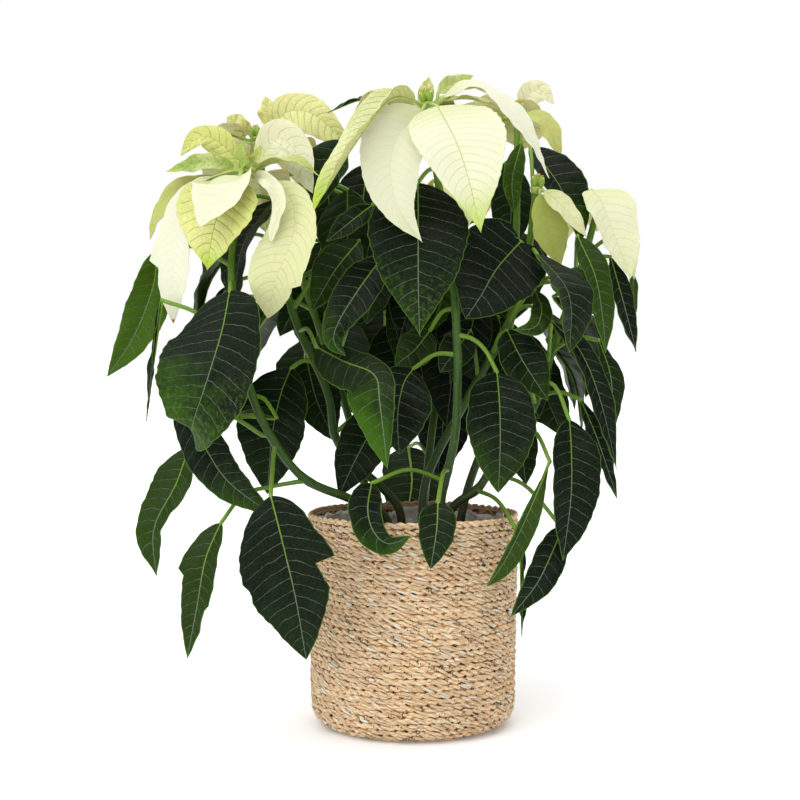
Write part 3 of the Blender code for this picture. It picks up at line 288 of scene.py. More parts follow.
# The bracts that show from the front, by flower head.
BRACTS = {
    "left": [
        bract([(-120, -44, 392), (-126, -66, 380), (-144, -80, 354)], (27, 16), "heart",
            teeth=((-1, 0.3, 0.1),), lobe=0.1),
        bract([(-122, -42, 389), (-132, -54, 371), (-138, -58, 350), (-142, -56, 326)], (31, 31),
            "pointed"),
        narrow_bract([(-138, -36, 393), (-150, -40, 388), (-162, -44, 371), (-166, -44, 337),
            (-168, -42, 290)], (15, 13), "late", teeth=((-1, 0.6, 0.2),)),
        narrow_bract([(-140, -26, 392), (-164, -28, 384), (-180, -28, 366), (-186, -26, 349)],
            (8, 8)),
        bract([(-108, -44, 389), (-85, -58, 376), (-82, -66, 350), (-94, -66, 319),
            (-100, -60, 293)], (22, 20), "late", teeth=((1, 0.7, 0.14),), wave=2.5),
        narrow_bract([(-110, -28, 402), (-95, -28, 420), (-81, -34, 408), (-70, -42, 380)], (15, 13)),
        narrow_bract([(-110, -38, 397), (-96, -46, 402), (-80, -50, 401), (-65, -52, 391)],
            (10, 10), face=UP),
        narrow_bract([(-119, -40, 399), (-119, -48, 406), (-118, -52, 414)], (5, 5)),
        narrow_bract([(-113, -38, 400), (-108, -44, 407), (-106, -46, 413)], (4, 4)),
        narrow_bract([(-124, -18, 405), (-138, -14, 419), (-152, -12, 423), (-166, -14, 410)], (10, 10),
            wave=3.0),
        narrow_bract([(-126, -26, 399), (-142, -32, 403), (-158, -34, 400), (-173, -34, 396)],
            (8, 9), face=(0.0, -0.9, 0.7)),
        narrow_bract([(-111, -46, 391), (-100, -58, 387), (-91, -62, 372), (-97, -60, 345)], (6, 6),
            "strap", fold=30),
    ],
    "centre": [
        bract([(1, -56, 442), (-16, -74, 441), (-37, -92, 412), (-54, -98, 384), (-66, -98, 364)],
            (12, 12), "strap", fold=42, face=(-0.6, -0.6, 0.6)),
        bract([(6, -62, 435), (-11, -95, 415), (-16, -110, 392), (-10, -116, 366),
            (6, -116, 344)], (22, 22), "pointed"),
        bract([(16, -64, 437), (27, -102, 409), (35, -118, 382), (43, -122, 347)], (29, 34),
            "pointed", fold=8),
        narrow_bract([(20, -52, 445), (42, -56, 452), (64, -62, 436), (79, -66, 414), (92, -66, 388)],
            (11, 11), "lance", face=(0.5, -0.6, 0.8)),
        narrow_bract([(17, -40, 450), (27, -36, 457), (42, -32, 463)], (6, 6)),
        narrow_bract([(21, -36, 446), (38, -30, 448), (61, -26, 443)], (7, 7), face=UP),
        narrow_bract([(8, -32, 441), (9, -28, 452), (11, -27, 463)], (6, 6)),
    ],
    "upper_left": [
        narrow_bract([(-121, 30, 431), (-126, 26, 434), (-132, 22, 432)], (7, 7)),
        narrow_bract([(-127, 45, 432), (-132, 47, 440), (-139, 47, 446)], (9, 9)),
        narrow_bract([(-108, 46, 438), (-108, 47, 449), (-110, 47, 461)], (8, 8)),
        bract([(-108, 36, 432), (-92, 24, 446), (-71, 14, 442), (-44, 8, 416)], (18, 13)),
    ],
    "upper_right": [
        narrow_bract([(83, 58, 452), (88, 64, 464), (97, 67, 469), (108, 65, 458)], (11, 9)),
        narrow_bract([(86, 42, 448), (99, 34, 439), (110, 30, 412)], (8, 8)),
    ],
    "right": [
        narrow_bract([(128, -6, 386), (134, -16, 376), (142, -22, 354), (154, -24, 322)], (16, 23),
            "heart"),
        narrow_bract([(145, 8, 372), (153, 2, 360), (158, 0, 343), (160, 0, 322)], (9, 7)),
    ],
    "inner_right": [
        narrow_bract([(93, -20, 384), (107, -26, 371), (122, -28, 351)], (8, 8)),
        narrow_bract([(90, -18, 382), (97, -16, 356), (105, -14, 330)], (14, 14)),
    ],
    "back_left": [],
    "back": [],
}

# How far each blade is swung in depth to be clear of its neighbours, by stem and place in its
# table. The others stay where they are.
SWINGS = {
    "bracts": {"left": {2: 4, 11: -8}, "centre": {1: 44}},
    "leaves": {"left": {4: 4}, "centre": {1: 16}, "upper_left": {1: 4}, "upper_right": {0: -4},
               "right": {1: 12, 7: 4, 8: -20, 10: 40},
               "inner_right": {1: 4, 2: -28, 3: -8, 4: 40, 6: -20}, "back": {1: 8, 5: 44}},
}

# Leaves that a rule hangs round the sides and the back: how many it tries, which of them are kept
# and how far each is swung in depth, between which bearings, in degrees from +X towards the back,
# and how far out at each height.
OUTER_TRIES = 130
OUTER_SWINGS = {1: 0, 2: 0, 4: 0, 6: 0, 9: -44, 10: -4, 17: 0, 18: 36, 21: 12, 22: -4, 25: 8, 30: 32,
                31: 0, 34: -20, 35: 0, 38: -20, 43: -28, 50: 20, 51: -12, 54: 4, 55: 32, 58: 40,
                62: -8, 67: 0, 71: 20}
OUTER_BEARINGS = (-38, 218)
OUTER_MIDDLE = (-12, 22)
OUTER_REACH = [(190, 74, 78), (240, 100, 92), (300, 118, 104), (350, 118, 100), (410, 86, 84)]
OUTER_LENGTH = (78, 102)

# Where a rule adds bracts: how many are wanted, between which bearings, and which of those that it
# tries are kept, each with how far it is swung in depth.
BRACT_FILL = {
    "left": (2, 80, 220, {0: -16, 2: 0}),
    "centre": (3, 60, 170, {0: 8, 2: -36, 3: -12}),
    "upper_left": (3, 60, 240, {0: 0, 2: 4, 3: 0}),
    "upper_right": (4, -10, 190, {1: 0, 3: 12, 4: -40, 6: -40}),
    "right": (4, -60, 140, {3: 0, 6: 12, 11: -24}),
    "inner_right": (1, 60, 120, {}),
    "back_left": (6, 0, 330, {0: 0, 1: 0, 2: 0, 3: 0, 4: 0, 5: 4}),
    "back": (6, -90, 250, {0: 0, 1: 0, 2: 0, 3: 16, 4: 0, 9: -32}),
}
BRACT_TRIES = 4
BRACT_FILL_LENGTH = (52, 70)

# Leaves in the shade between the stems, hung by rule inside these limits.
INNER_TRIES = 32
INNER_SWINGS = {0: 0, 2: 0, 3: -8, 4: 0, 5: 8, 6: 0, 7: 16, 8: 12, 10: 0, 12: 24, 14: 4, 17: 0}
INNER_ACROSS = (-80, 100)
INNER_HEIGHTS = (265, 415)
INNER_DEPTHS = (10, 45)

SEED = 7

# Camera and light
CAMERA_PLACE = (-9.4, -1150.0, 275.0)
CAMERA_DIP = 2.0
CAMERA_LENS = 71.4
WORLD_LIGHT = 0.5
KEY_STRENGTH = 2.3
BACK_STRENGTH = 1.4
KEY_SOURCE = (-0.5, -0.8, 1.1)
BACK_SOURCE = (0.2, 0.8, 1.2)
SUN_SPREAD = 70.0
FLOOR_GLOW = 0.14
FLOOR_REACH = 40

# Fine blades
FINE_ROWS = 60
FINE_COLUMNS = 18
SMALL_ROWS = 46
SMALL_COLUMNS = 12
LEAF_VEINS = (8.2, 0.05)
BRACT_VEINS = (6.6, 0.10)
LEAF_SHEET = 0.7
BRACT_SHEET = 0.6
LEAF_RELIEF = 0.45
FRESH_RELIEF = 1.6
LEAF_FRILL = 0.55
BRACT_FRILL = 0.5

# Stalks and stems
STALK_SIDES = 8
STALK_SAMPLES = 12
RIB_SAMPLES = 10
FINE_STEM_SIDES = 10
FINE_STEM_SAMPLES = 70

# Rope
ROPE_RADIUS = 2.4
CORE_DEPTH = 1.9
ROPE_ROWS = 36
STRAND_RADIUS = 1.42
STRAND_TWIST = (0.82, 1.2)
TWIST_LENGTH = 14.0
STRAND_SIDES = 6
STRAND_STEP = 1.9
LOOSE_STRAWS = 2600
BASE_PITCH = 4.6
# Rope rows inside the rim: the level whose inner radius each takes, and how far it lies below the top.
INSIDE_ROWS = ((150, 4.2), (146, 7.7))
INSIDE_SCALE = 0.72

# Film and soil
FILM_SHEET = 0.35
FILM_SEGMENTS = 260
SOIL_CRUMBS = 420
SOIL_SINK = 1.2

# Seeds of the looks
PLANT_SEED = 21
BASKET_SEED = 33

# What each leaf looks like, by stem and place in its table: how fresh its green is, how far its tip
# has turned yellow-green, and how mottled it is.
LEAF_LOOKS = {
    "left": {0: (0.0, 0.6, 0.4), 1: (0.95, 0.3, 0.0), 2: (0.0, 0.0, 0.0), 3: (0.0, 0.45, 0.1),
             4: (0.35, 0.1, 0.0), 5: (0.0, 0.1, 0.0), 6: (0.3, 0.1, 0.0), 7: (0.2, 0.0, 0.0)},
    "upper_left": {0: (0.05, 0.1, 0.0), 1: (0.12, 1.0, 0.1), 2: (0.05, 0.0, 0.0)},
    "centre": {0: (0.0, 0.35, 0.2), 1: (0.0, 0.2, 0.4), 2: (0.0, 0.1, 0.0), 3: (0.06, 0.1, 0.0),
               4: (0.0, 0.5, 0.0), 8: (0.0, 0.4, 0.1)},
    "inner_right": {0: (0.0, 0.0, 0.0), 1: (0.4, 0.2, 0.0), 2: (0.3, 0.2, 0.0), 3: (0.3, 0.5, 0.0),
                    4: (0.0, 0.7, 0.3)},
    "right": {0: (0.4, 0.2, 0.0), 1: (0.5, 0.2, 0.0), 2: (0.0, 0.0, 0.0), 3: (0.0, 0.0, 0.0),
              4: (0.1, 0.1, 0.0), 5: (0.0, 0.0, 0.0), 6: (0.0, 0.1, 0.0), 7: (0.45, 0.1, 0.0),
              8: (0.0, 0.1, 0.0)},
    "upper_right": {0: (0.7, 0.0, 1.0)},
    "back": {5: (0.0, 0.0, 0.0), 6: (1.0, 0.0, 0.5)},
}

# What each bract looks like, by flower head and place in its table: how yellow, olive and green it is
# (the olive partly its own colour and partly painted shade on bracts seen from below), how strong its
# veins are, how green its tip is and how far the tip has dried.
BRACT_LOOKS = {
    "left": {0: (0.1, 0.0, 0.0, 0.15, 0.0, 0.0), 1: (0.85, 0.0, 0.1, 1.0, 1.0, 0.0),
             2: (0.0, 0.0, 0.0, 0.1, 0.0, 1.0), 3: (0.4, 0.8, 0.0, 0.2, 0.0, 0.0),
             4: (0.4, 0.15, 0.0, 0.4, 0.1, 0.0), 5: (0.2, 0.0, 0.0, 0.5, 0.0, 0.0),
             6: (0.7, 0.3, 0.2, 0.9, 0.3, 0.0), 7: (0.8, 0.0, 0.6, 0.5, 0.3, 0.0),
             8: (0.8, 0.0, 0.6, 0.5, 0.3, 0.0), 9: (0.9, 0.0, 0.2, 0.9, 0.2, 0.0),
             10: (0.6, 0.2, 0.9, 1.0, 0.4, 0.0), 11: (0.15, 0.0, 0.0, 0.1, 0.0, 0.0)},
    "centre": {0: (0.45, 0.0, 0.1, 1.0, 0.9, 0.0), 1: (0.1, 0.0, 0.0, 0.08, 0.1, 0.0),
               2: (0.12, 0.0, 0.0, 0.4, 0.75, 0.0), 3: (0.0, 0.0, 0.0, 0.05, 0.0, 0.0),
               4: (0.7, 0.0, 0.4, 0.8, 0.2, 0.0), 5: (0.5, 0.6, 0.2, 0.6, 0.0, 0.0),
               6: (0.6, 0.0, 0.3, 0.6, 0.2, 0.0)},
    "upper_left": {0: (0.8, 0.2, 0.0, 0.5, 0.0, 0.0), 1: (0.7, 0.1, 0.0, 0.5, 0.0, 0.0),
                   2: (0.75, 0.1, 0.0, 0.5, 0.0, 0.0), 3: (0.7, 0.0, 0.0, 0.9, 0.2, 0.0)},
    "upper_right": {0: (0.25, 0.0, 0.0, 0.6, 0.0, 0.0), 1: (0.5, 0.75, 0.0, 0.3, 0.0, 0.0)},
    "right": {0: (0.2, 0.0, 0.0, 0.3, 0.2, 0.0), 1: (0.25, 0.0, 0.0, 0.3, 0.1, 0.0)},
    "inner_right": {0: (0.4, 0.1, 0.0, 0.3, 0.1, 0.0), 1: (0.9, 0.6, 0.2, 0.3, 0.0, 0.0)},
}


def unit(vectors):
    return vectors / np.linalg.norm(vectors, axis=-1, keepdims=True)


def smooth(points, runs):
    """Evenly spaced points on a smooth curve through the given ones."""
    points = np.array(points, float)
    padded = np.vstack([2 * points[0] - points[1], points, 2 * points[-1] - points[-2]])
    steps = np.linspace(0, 1, 16, endpoint=False)[:, None]
    fine = []
    for a, b, c, d in zip(padded, padded[1:], padded[2:], padded[3:]):
        curve = 2 * b + (c - a) * steps + (2 * a - 5 * b + 4 * c - d) * steps**2
        fine.append((curve + (3 * b - a - 3 * c + d) * steps**3) / 2)
    fine = np.vstack([*fine, points[-1:]])
    along = np.concatenate([[0], np.cumsum(np.linalg.norm(np.diff(fine, axis=0), axis=1))])
    wanted = np.linspace(0, along[-1], runs + 1)
    return np.stack([np.interp(wanted, along, fine[:, axis]) for axis in range(3)], axis=1)


def stem_points(place):
    """The stem's own route, from the bottom of its hole in the soil."""
    stem = STEMS[place]
    x, y = stem["foot"]
    buried = [(x, y, SOIL_TOP - HOLE_DEPTH + GAP), (x, y, SOIL_TOP - HOLE_DEPTH / 2)]
    return buried + [(x, y, SOIL_TOP + 3)] + stem["route"]


def stem_at(place, height):
    route = smooth(stem_points(place), 80)
    return np.array([np.interp(height, route[:, 2], route[:, axis]) for axis in range(3)])


def stem_end(place):
    """The middle of the stem's top and the direction in which it points."""
    route = smooth(stem_points(place), 80)
    return route[-1], unit(route[-1] - route[-5])


def hub_centre(place):
    top, axis = stem_end(place)
    return top + axis * (GAP + HUB_HEIGHT / 2)


def outline(blade, along, side):
    """The share of its full width that the blade has at each point along it."""
    rise, fall = FORMS[blade.form]
    widest = rise / (rise + fall)
    share = (along / widest) ** rise * ((1 - along) / (1 - widest)) ** fall
    for tooth_side, place, depth in blade.teeth:
        if tooth_side == side:
            knots = [place - 0.16, place, place + 0.05, place + 0.18]
            share = share * (1 + np.interp(along, knots, [0, depth, -depth, 0]))
    return share


def rows_along(blade, rows):
    """Where the blade's rows lie between base and tip: closer at both ends, and on its teeth."""
    even = np.linspace(0, 1, rows + 1)
    along = even - 0.055 * np.sin(2 * np.pi * even)
    for _, place, _ in blade.teeth:
        nearest = int(np.clip(np.abs(along - place).argmin(), 1, rows - 2))
        along[nearest] = place
        along[nearest + 1] = place + 0.05
    return np.sort(along)


def blade_surface(blade, rows, columns, phase):
    """The blade's middle surface, as rows of points from its left edge to its right."""
    along = rows_along(blade, rows)
    across = np.linspace(-1, 1, columns + 1)
    route = smooth(blade.midrib, 48)
    length = np.linalg.norm(np.diff(route, axis=0), axis=1).sum()
    stations = np.linspace(0, 1, 49)
    tangents = unit(np.gradient(route, axis=0))
    spine = np.stack([np.interp(along, stations, route[:, k]) for k in range(3)], axis=1)
    tangent = unit(np.stack([np.interp(along, stations, tangents[:, k]) for k in range(3)], axis=1))
    face = np.array(blade.face, float)
    normal = unit(face - (tangent @ face)[:, None] * tangent)
    sideways = np.cross(normal, tangent)
    grid = np.empty((rows + 1, columns + 1, 3))
    for column, v in enumerate(across):
        side = -1 if v < 0 else 1
        share = outline(blade, along, side)
        reach = abs(v) * blade.half[0 if side < 0 else 1] * share
        lift = reach * math.sin(math.radians(blade.fold))
        ripple = np.sin(2 * np.pi * 1.7 * along + phase + 1.3 * side)
        lift = lift + blade.wave * abs(v) ** 1.5 * share * ripple
        flat = reach * math.cos(math.radians(blade.fold))
        ahead = SWEEP * reach - blade.lobe * length * v * v * (1 - along) ** 4
        ahead[0] = 0
        grid[:, column] = (
            spine + side * flat[:, None] * sideways + lift[:, None] * normal + ahead[:, None] * tangent
        )
    return grid


def surface_normals(grid):
    """The direction in which each point of a blade faces."""
    normals = np.cross(np.gradient(grid, axis=0), np.gradient(grid, axis=1))
    normals[0] = normals[1]
    normals[-1] = normals[-2]
    return unit(normals)


def stalk_route(place, blade, runs):
    """From the blade's base back to the middle of the stem or of the flower head."""
    base = np.array(blade.midrib[0], float)
    if not blade.stem_height:
        _, axis = stem_end(place)
        centre = hub_centre(place)
        outward_way = unit((base - centre) - ((base - centre) @ axis) * axis)
        steps = (BRACT_STALK_FOOT, BRACT_STALK_TURN)
        return np.array([centre + step * outward_way for step in steps] + [base])[::-1]
    start = stem_at(place, blade.stem_height)
    middle = list(blade.via)
    if not middle:
        rise = 0.14 * np.linalg.norm(base - start)
        middle = [(start + base) / 2 + np.array([0, 0, rise])]
    return smooth([start, *middle, base], runs)[::-1]


def swung(blade, shift):
    """The blade moved in depth, its base too unless it sits on a flower head."""
    points = np.array(blade.midrib, float)
    share = np.ones(len(points)) if blade.stem_height else np.linspace(0, 1, len(points)) ** 0.7
    points[:, 1] += shift * share
    via = tuple((x, y + shift * 0.5, z) for x, y, z in blade.via)
    return replace(blade, midrib=tuple(map(tuple, points)), via=via)


def inner_leaf(number, draws):
    """A leaf that hangs in the shade between the stems, and the stem that it grows from."""
    across = INNER_ACROSS[0] + (INNER_ACROSS[1] - INNER_ACROSS[0]) * ((number * 0.618) % 1.0)
    height = INNER_HEIGHTS[0] + (INNER_HEIGHTS[1] - INNER_HEIGHTS[0]) * ((number * 0.382) % 1.0)
    depth = draws.uniform(*INNER_DEPTHS)
    lean = draws.uniform(-0.5, 0.5)
    length = draws.uniform(66, 88)
    base = np.array([across, depth, height])
    middle = base + np.array([lean * length * 0.3, -6, -length * 0.45])
    tip = base + np.array([lean * length * 0.8, -2, -length * 0.9])
    half = length * draws.uniform(0.27, 0.34)
    place = min(STEMS, key=lambda stem: np.linalg.norm(stem_at(stem, height + 8)[:2] - base[:2]))
    face = (draws.uniform(-1.3, 1.3), -1.0, 0.3)
    midrib = map(tuple, (base, middle, tip))
    return place, small_leaf(height + 8, midrib, (half, half), "ovate", face=face)


def outer_leaf(number, draws):
    """A leaf that hangs on the outside of the plant and faces away from it, and its stem."""
    turn = (number * 0.618) % 1.0
    bearing = math.radians(OUTER_BEARINGS[0] + (OUTER_BEARINGS[1] - OUTER_BEARINGS[0]) * turn)
    levels, across, deep = np.array(OUTER_REACH, float).T
    height = levels[0] + (levels[-1] - levels[0]) * ((number * 0.755) % 1.0)
    reach = np.array([np.interp(height, levels, across), np.interp(height, levels, deep)])
    out = np.array([math.cos(bearing), math.sin(bearing), 0.0])
    base = np.array([*(OUTER_MIDDLE + out[:2] * reach), height])
    length = draws.uniform(*OUTER_LENGTH)
    droop = draws.uniform(0.5, 1.0)
    aside = np.array([-out[1], out[0], 0.0]) * draws.uniform(-0.25, 0.25) * length
    middle = base + out * length * (0.42 - 0.2 * droop) - [0, 0, length * (0.2 + 0.2 * droop)]
    tip = base + out * length * (0.6 - 0.35 * droop) + aside - [0, 0, length * (0.6 + 0.3 * droop)]
    half = length * draws.uniform(0.27, 0.32)
    place = min(STEMS, key=lambda stem: np.linalg.norm(stem_at(stem, height - 5)[:2] - base[:2]))
    face = tuple(out + np.array([0.0, 0.0, 0.6]))
    midrib = map(tuple, (base, middle, tip))
    return place, small_leaf(height - 5, midrib, (half, half), "ovate", face=face)


def filled_bract(place, number, draws):
    """A spreading bract out of the front view, placed by rule. Later ones are shorter and rise more."""
    wanted, first, last, _ = BRACT_FILL[place]
    turn = (number * 0.618) % 1.0
    bearing = math.radians(first + (last - first) * turn)
    layer = min(1.0, number / (2 * wanted))
    length = BRACT_FILL_LENGTH[1] + (BRACT_FILL_LENGTH[0] - BRACT_FILL_LENGTH[1]) * layer
    droop = 0.75 - 0.6 * layer + draws.uniform(-0.1, 0.1)
    out = np.array([math.cos(bearing), math.sin(bearing), 0.0])
    up = np.array([0.0, 0.0, 1.0])
    base = hub_centre(place) + out * 10 + up * (2.5 * layer - 1.0)
    middle = base + out * length * 0.45 + up * length * (0.14 - 0.2 * droop)
    tip = base + out * length * 0.85 - up * length * 0.7 * droop
    half = length * draws.uniform(0.27, 0.33)
    face = tuple(out * 0.5 + up)
    return narrow_bract(map(tuple, (base, middle, tip)), (half, half), face=face)


def bud_places(place):
    """The axis of the small buds in the middle of a flower head, and their centres."""
    top, axis = stem_end(place)
    across = unit(np.cross(axis, [0.0, 1.0, 0.2]))
    other = np.cross(axis, across)
    base = top + axis * (2 * GAP + HUB_HEIGHT)
    centres = [base + axis * 0.62 * BUD_LENGTH]
    for k in range(BUDS - 1):
        angle = 2 * math.pi * k / (BUDS - 1) + 0.4
        out = across * math.cos(angle) + other * math.sin(angle)
        centres.append(base + out * BUD_SPREAD + axis * 0.5 * BUD_LENGTH)
    return axis, centres


def settled():
    """Every leaf and bract by place, each swung in depth as in the part, so that none cross."""
    placed = {kind: {place: [] for place in STEMS} for kind in ("bracts", "leaves")}

    def seat(kind, place, blade, number, shift):
        placed[kind][place].append((swung(blade, shift), 2.4 * number + len(place)))

    for kind, table in (("bracts", BRACTS), ("leaves", LEAVES)):
        for place in STEMS:
            swings = SWINGS[kind].get(place, {})
            for number, blade in enumerate(table[place]):
                seat(kind, place, blade, number, swings.get(number, 0))
    draws = np.random.default_rng(SEED)
    for place, (wanted, _, _, swings) in BRACT_FILL.items():
        for number in range(BRACT_TRIES * wanted):
            blade = filled_bract(place, number, draws)
            if number in swings:
                seat("bracts", place, blade, number + 50, swings[number])
    outer = (outer_leaf, OUTER_TRIES, OUTER_SWINGS)
    for rule, tries, swings in ((inner_leaf, INNER_TRIES, INNER_SWINGS), outer):
        for number in range(tries):
            place, blade = rule(number, draws)
            if number in swings:
                seat("leaves", place, blade, number + 20, swings[number])
    return placed


def dent(height, bearing):
    """How far the basket's left side is pushed in."""
    sideways = max(0.0, math.cos(math.radians(bearing - DENT_BEARING)))
    level = math.exp(-(((height - DENT_HEIGHT) / DENT_SPREAD) ** 2))
    return DENT_DEPTH * level * sideways**2


def wall_radius(height):
    """The basket's outer radius, rounded in at the foot."""
    share = height / BASKET_HEIGHT
    radius = BASKET_FOOT_RADIUS + (BASKET_TOP_RADIUS - BASKET_FOOT_RADIUS) * share
    below = max(0.0, FOOT_ROUNDING - height)
    return radius - FOOT_ROUNDING + math.sqrt(FOOT_ROUNDING**2 - below**2)


def inner_radius(height):
    share = height / BASKET_HEIGHT
    radius = BASKET_FOOT_RADIUS + (BASKET_TOP_RADIUS - BASKET_FOOT_RADIUS) * share - BASKET_WALL
    below = min(INNER_ROUNDING, max(0.0, BASKET_FLOOR + INNER_ROUNDING - height))
    return radius - INNER_ROUNDING + math.sqrt(INNER_ROUNDING**2 - below**2)


def turned(profile, segments, shape):
    """Points and faces of a solid turned round the Z axis from a profile that starts and ends on it."""
    points = [(0.0, 0.0, profile[0][1])]
    ring = profile[1:-1]
    for radius, height in ring:
        for k in range(segments):
            bearing = 360 * k / segments
            r, z = shape(radius, height, bearing)
            angle = math.radians(bearing)
            points.append((r * math.cos(angle), r * math.sin(angle), z))
    points.append((0.0, 0.0, profile[-1][1]))
    last = len(points) - 1
    faces = []
    for k in range(segments):
        after = (k + 1) % segments
        faces.append((0, 1 + after, 1 + k))
        for level in range(len(ring) - 1):
            a, b = 1 + level * segments + k, 1 + level * segments + after
            faces += [(a, b, b + segments), (a, b + segments, a + segments)]
        top = 1 + (len(ring) - 1) * segments
        faces.append((last, top + k, top + after))
    return np.array(points), [faces]


def liner_edge(bearing):
    angle = math.radians(bearing)
    return 1.6 * math.sin(5 * angle + 1.0) + 1.2 * math.sin(9 * angle)


def new_object(name, data):
    item = bpy.data.objects.new(name, data)
    bpy.context.scene.collection.objects.link(item)
    return item


class Gathered:
    """Points, faces and the values that the materials read at each point, gathered into one piece."""

    def __init__(self):
        self.points = []
        self.faces = []
        self.slots = []
        self.values = {}
        self.total = 0

    def add(self, points, faces, slot=0, **values):
        points = np.asarray(points, float)
        for name, value in values.items():
            spread = np.broadcast_to(np.asarray(value, float), (len(points), 3))
            self.values.setdefault(name, []).append((self.total, spread))
        for group in faces:
            group = np.asarray(group, int) + self.total
            self.faces += group.tolist()
            self.slots += [slot] * len(group)
        self.points.append(points)
        self.total += len(points)

    def piece(self, name, materials, nodes, sharp=55):
        mesh = bpy.data.meshes.new(name)
        mesh.from_pydata((np.vstack(self.points) * MM).tolist(), [], self.faces)
        for material in materials:
            mesh.materials.append(material)
        mesh.polygons.foreach_set("material_index", np.array(self.slots, np.int32))
        for key, chunks in self.values.items():
            table = np.zeros((self.total, 3), np.float32)
            for start, chunk in chunks:
                table[start : start + len(chunk)] = chunk
            mesh.attributes.new(key, "FLOAT_VECTOR", "POINT").data.foreach_set("vector", table.ravel())
        mesh.shade_smooth()
        if sharp:
            mesh.set_sharp_from_angle(angle=math.radians(sharp))
        item = new_object(name, mesh)
        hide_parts(*nodes)
        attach(item, "root")
        return item


def sheet_faces(rows, columns):
    """The faces of a closed blade: two sheets of points, their rims, and fans at base and tip."""
    wide = columns + 1
    inner = rows - 1
    below = inner * wide
    base, tip = 2 * below, 2 * below + 2
    quads = []
    fans = []
    top = np.arange(below).reshape(inner, wide)
    a, b, c, d = top[:-1, :-1], top[1:, :-1], top[1:, 1:], top[:-1, 1:]
    quads.append(np.stack([a, b, c, d], axis=-1).reshape(-1, 4))
    quads.append(quads[0][:, ::-1] + below)
    first, last = top[0], top[-1]
    start = np.full(columns, base)
    end = np.full(columns, tip)
    fans.append(np.stack([start, first[:-1], first[1:]], axis=-1))
    fans.append(np.stack([start + 1, first[1:] + below, first[:-1] + below], axis=-1))
    fans.append(np.stack([last[:-1], end, last[1:]], axis=-1))
    fans.append(np.stack([last[1:] + below, end + 1, last[:-1] + below], axis=-1))
    left = np.concatenate([[base], top[:, 0], [tip]])
    right = np.concatenate([[base], top[:, -1], [tip]])
    for edge, turn in ((left, 1), (right, -1)):
        under = edge + below
        under[0], under[-1] = base + 1, tip + 1
        rim = np.stack([edge[:-1], under[:-1], under[1:], edge[1:]], axis=-1)
        quads.append(rim[:, ::turn])
    return [np.vstack(quads), np.vstack(fans)]


def spread_values(field):
    """One value for each point of a closed blade, from a value for each point of its grid."""
    middle = field.shape[1] // 2
    inner = field[1:-1].reshape(-1, *field.shape[2:])
    ends = [field[0, middle], field[0, middle], field[-1, middle], field[-1, middle]]
    return np.concatenate([inner, inner, np.array(ends)])


def blade_length(blade):
    return np.linalg.norm(np.diff(smooth(blade.midrib, 48), axis=0), axis=1).sum()


def fine_blade(gathered, blade, phase, thickness, veins, relief, frill, values):
    """A closed blade with swellings between its veins, a crinkled face and an uneven margin."""
    rows, columns = (SMALL_ROWS, SMALL_COLUMNS) if blade.narrow else (FINE_ROWS, FINE_COLUMNS)
    grid = blade_surface(blade, rows, columns, phase)
    normals = surface_normals(grid)
    along = rows_along(blade, rows)[:, None]
    across = np.linspace(-1, 1, columns + 1)[None, :]
    away = np.abs(across)
    left = blade.half[0] * outline(blade, along, -1)
    right = blade.half[1] * outline(blade, along, 1)
    reach = np.where(across < 0, left, right)
    length = blade_length(blade)
    spacing, sweep = veins
    count = max(5, round(length / spacing))
    cell = count * (along - sweep * across**2) + 0.5 * (across < 0)
    swelling = np.cos(np.pi * cell) ** 2 * np.clip(away * reach / 3, 0, 1) * (1 - away**6)
    turn = 1.7 * phase
    height = relief * swelling
    crinkle = np.sin(2 * np.pi * (2 * count * along + 1.5 * away) + turn)
    height = height + 0.35 * relief * crinkle * swelling
    height = height + 0.9 * frill * np.sin(2 * np.pi * (1.4 * along + 0.7 * across) + turn) * away
    height = height + frill * away**3 * np.sin(np.pi * count * along + 2 * turn + across)
    height = height * np.clip(6 * along, 0, 1) * np.clip(6 * (1 - along), 0, 1)
    uneven = 0.02 * np.sin(2 * np.pi * 3.3 * along + turn)
    uneven = uneven + 0.014 * np.sin(2 * np.pi * count * along - turn)
    middle = columns // 2
    spine = grid[:, middle : middle + 1]
    pull = 1 + uneven * away**3
    surface = spine + (grid - spine) * pull[..., None] + normals * height[..., None]
    thick = thickness * (1 - 0.55 * away**4) * np.ones_like(along)
    half = normals * (thick / 2)[..., None]
    upper, lower = surface + half, surface - half
    points = np.concatenate([upper[1:-1].reshape(-1, 3), lower[1:-1].reshape(-1, 3),
                             [upper[0, middle], lower[0, middle], upper[-1, middle], lower[-1, middle]]])
    ones = np.ones_like(reach)
    place = spread_values(np.stack([along * ones, across * ones, ones], axis=-1))
    inner = (rows - 1) * (columns + 1)
    place[inner : 2 * inner, 2] = 0
    place[[-3, -1], 2] = 0
    measure = spread_values(np.stack([count * ones, reach, length / count * ones], axis=-1))
    gathered.add(points, sheet_faces(rows, columns), place=place, measure=measure, **values)
    return spine[:, 0], normals[:, middle], along[:, 0]


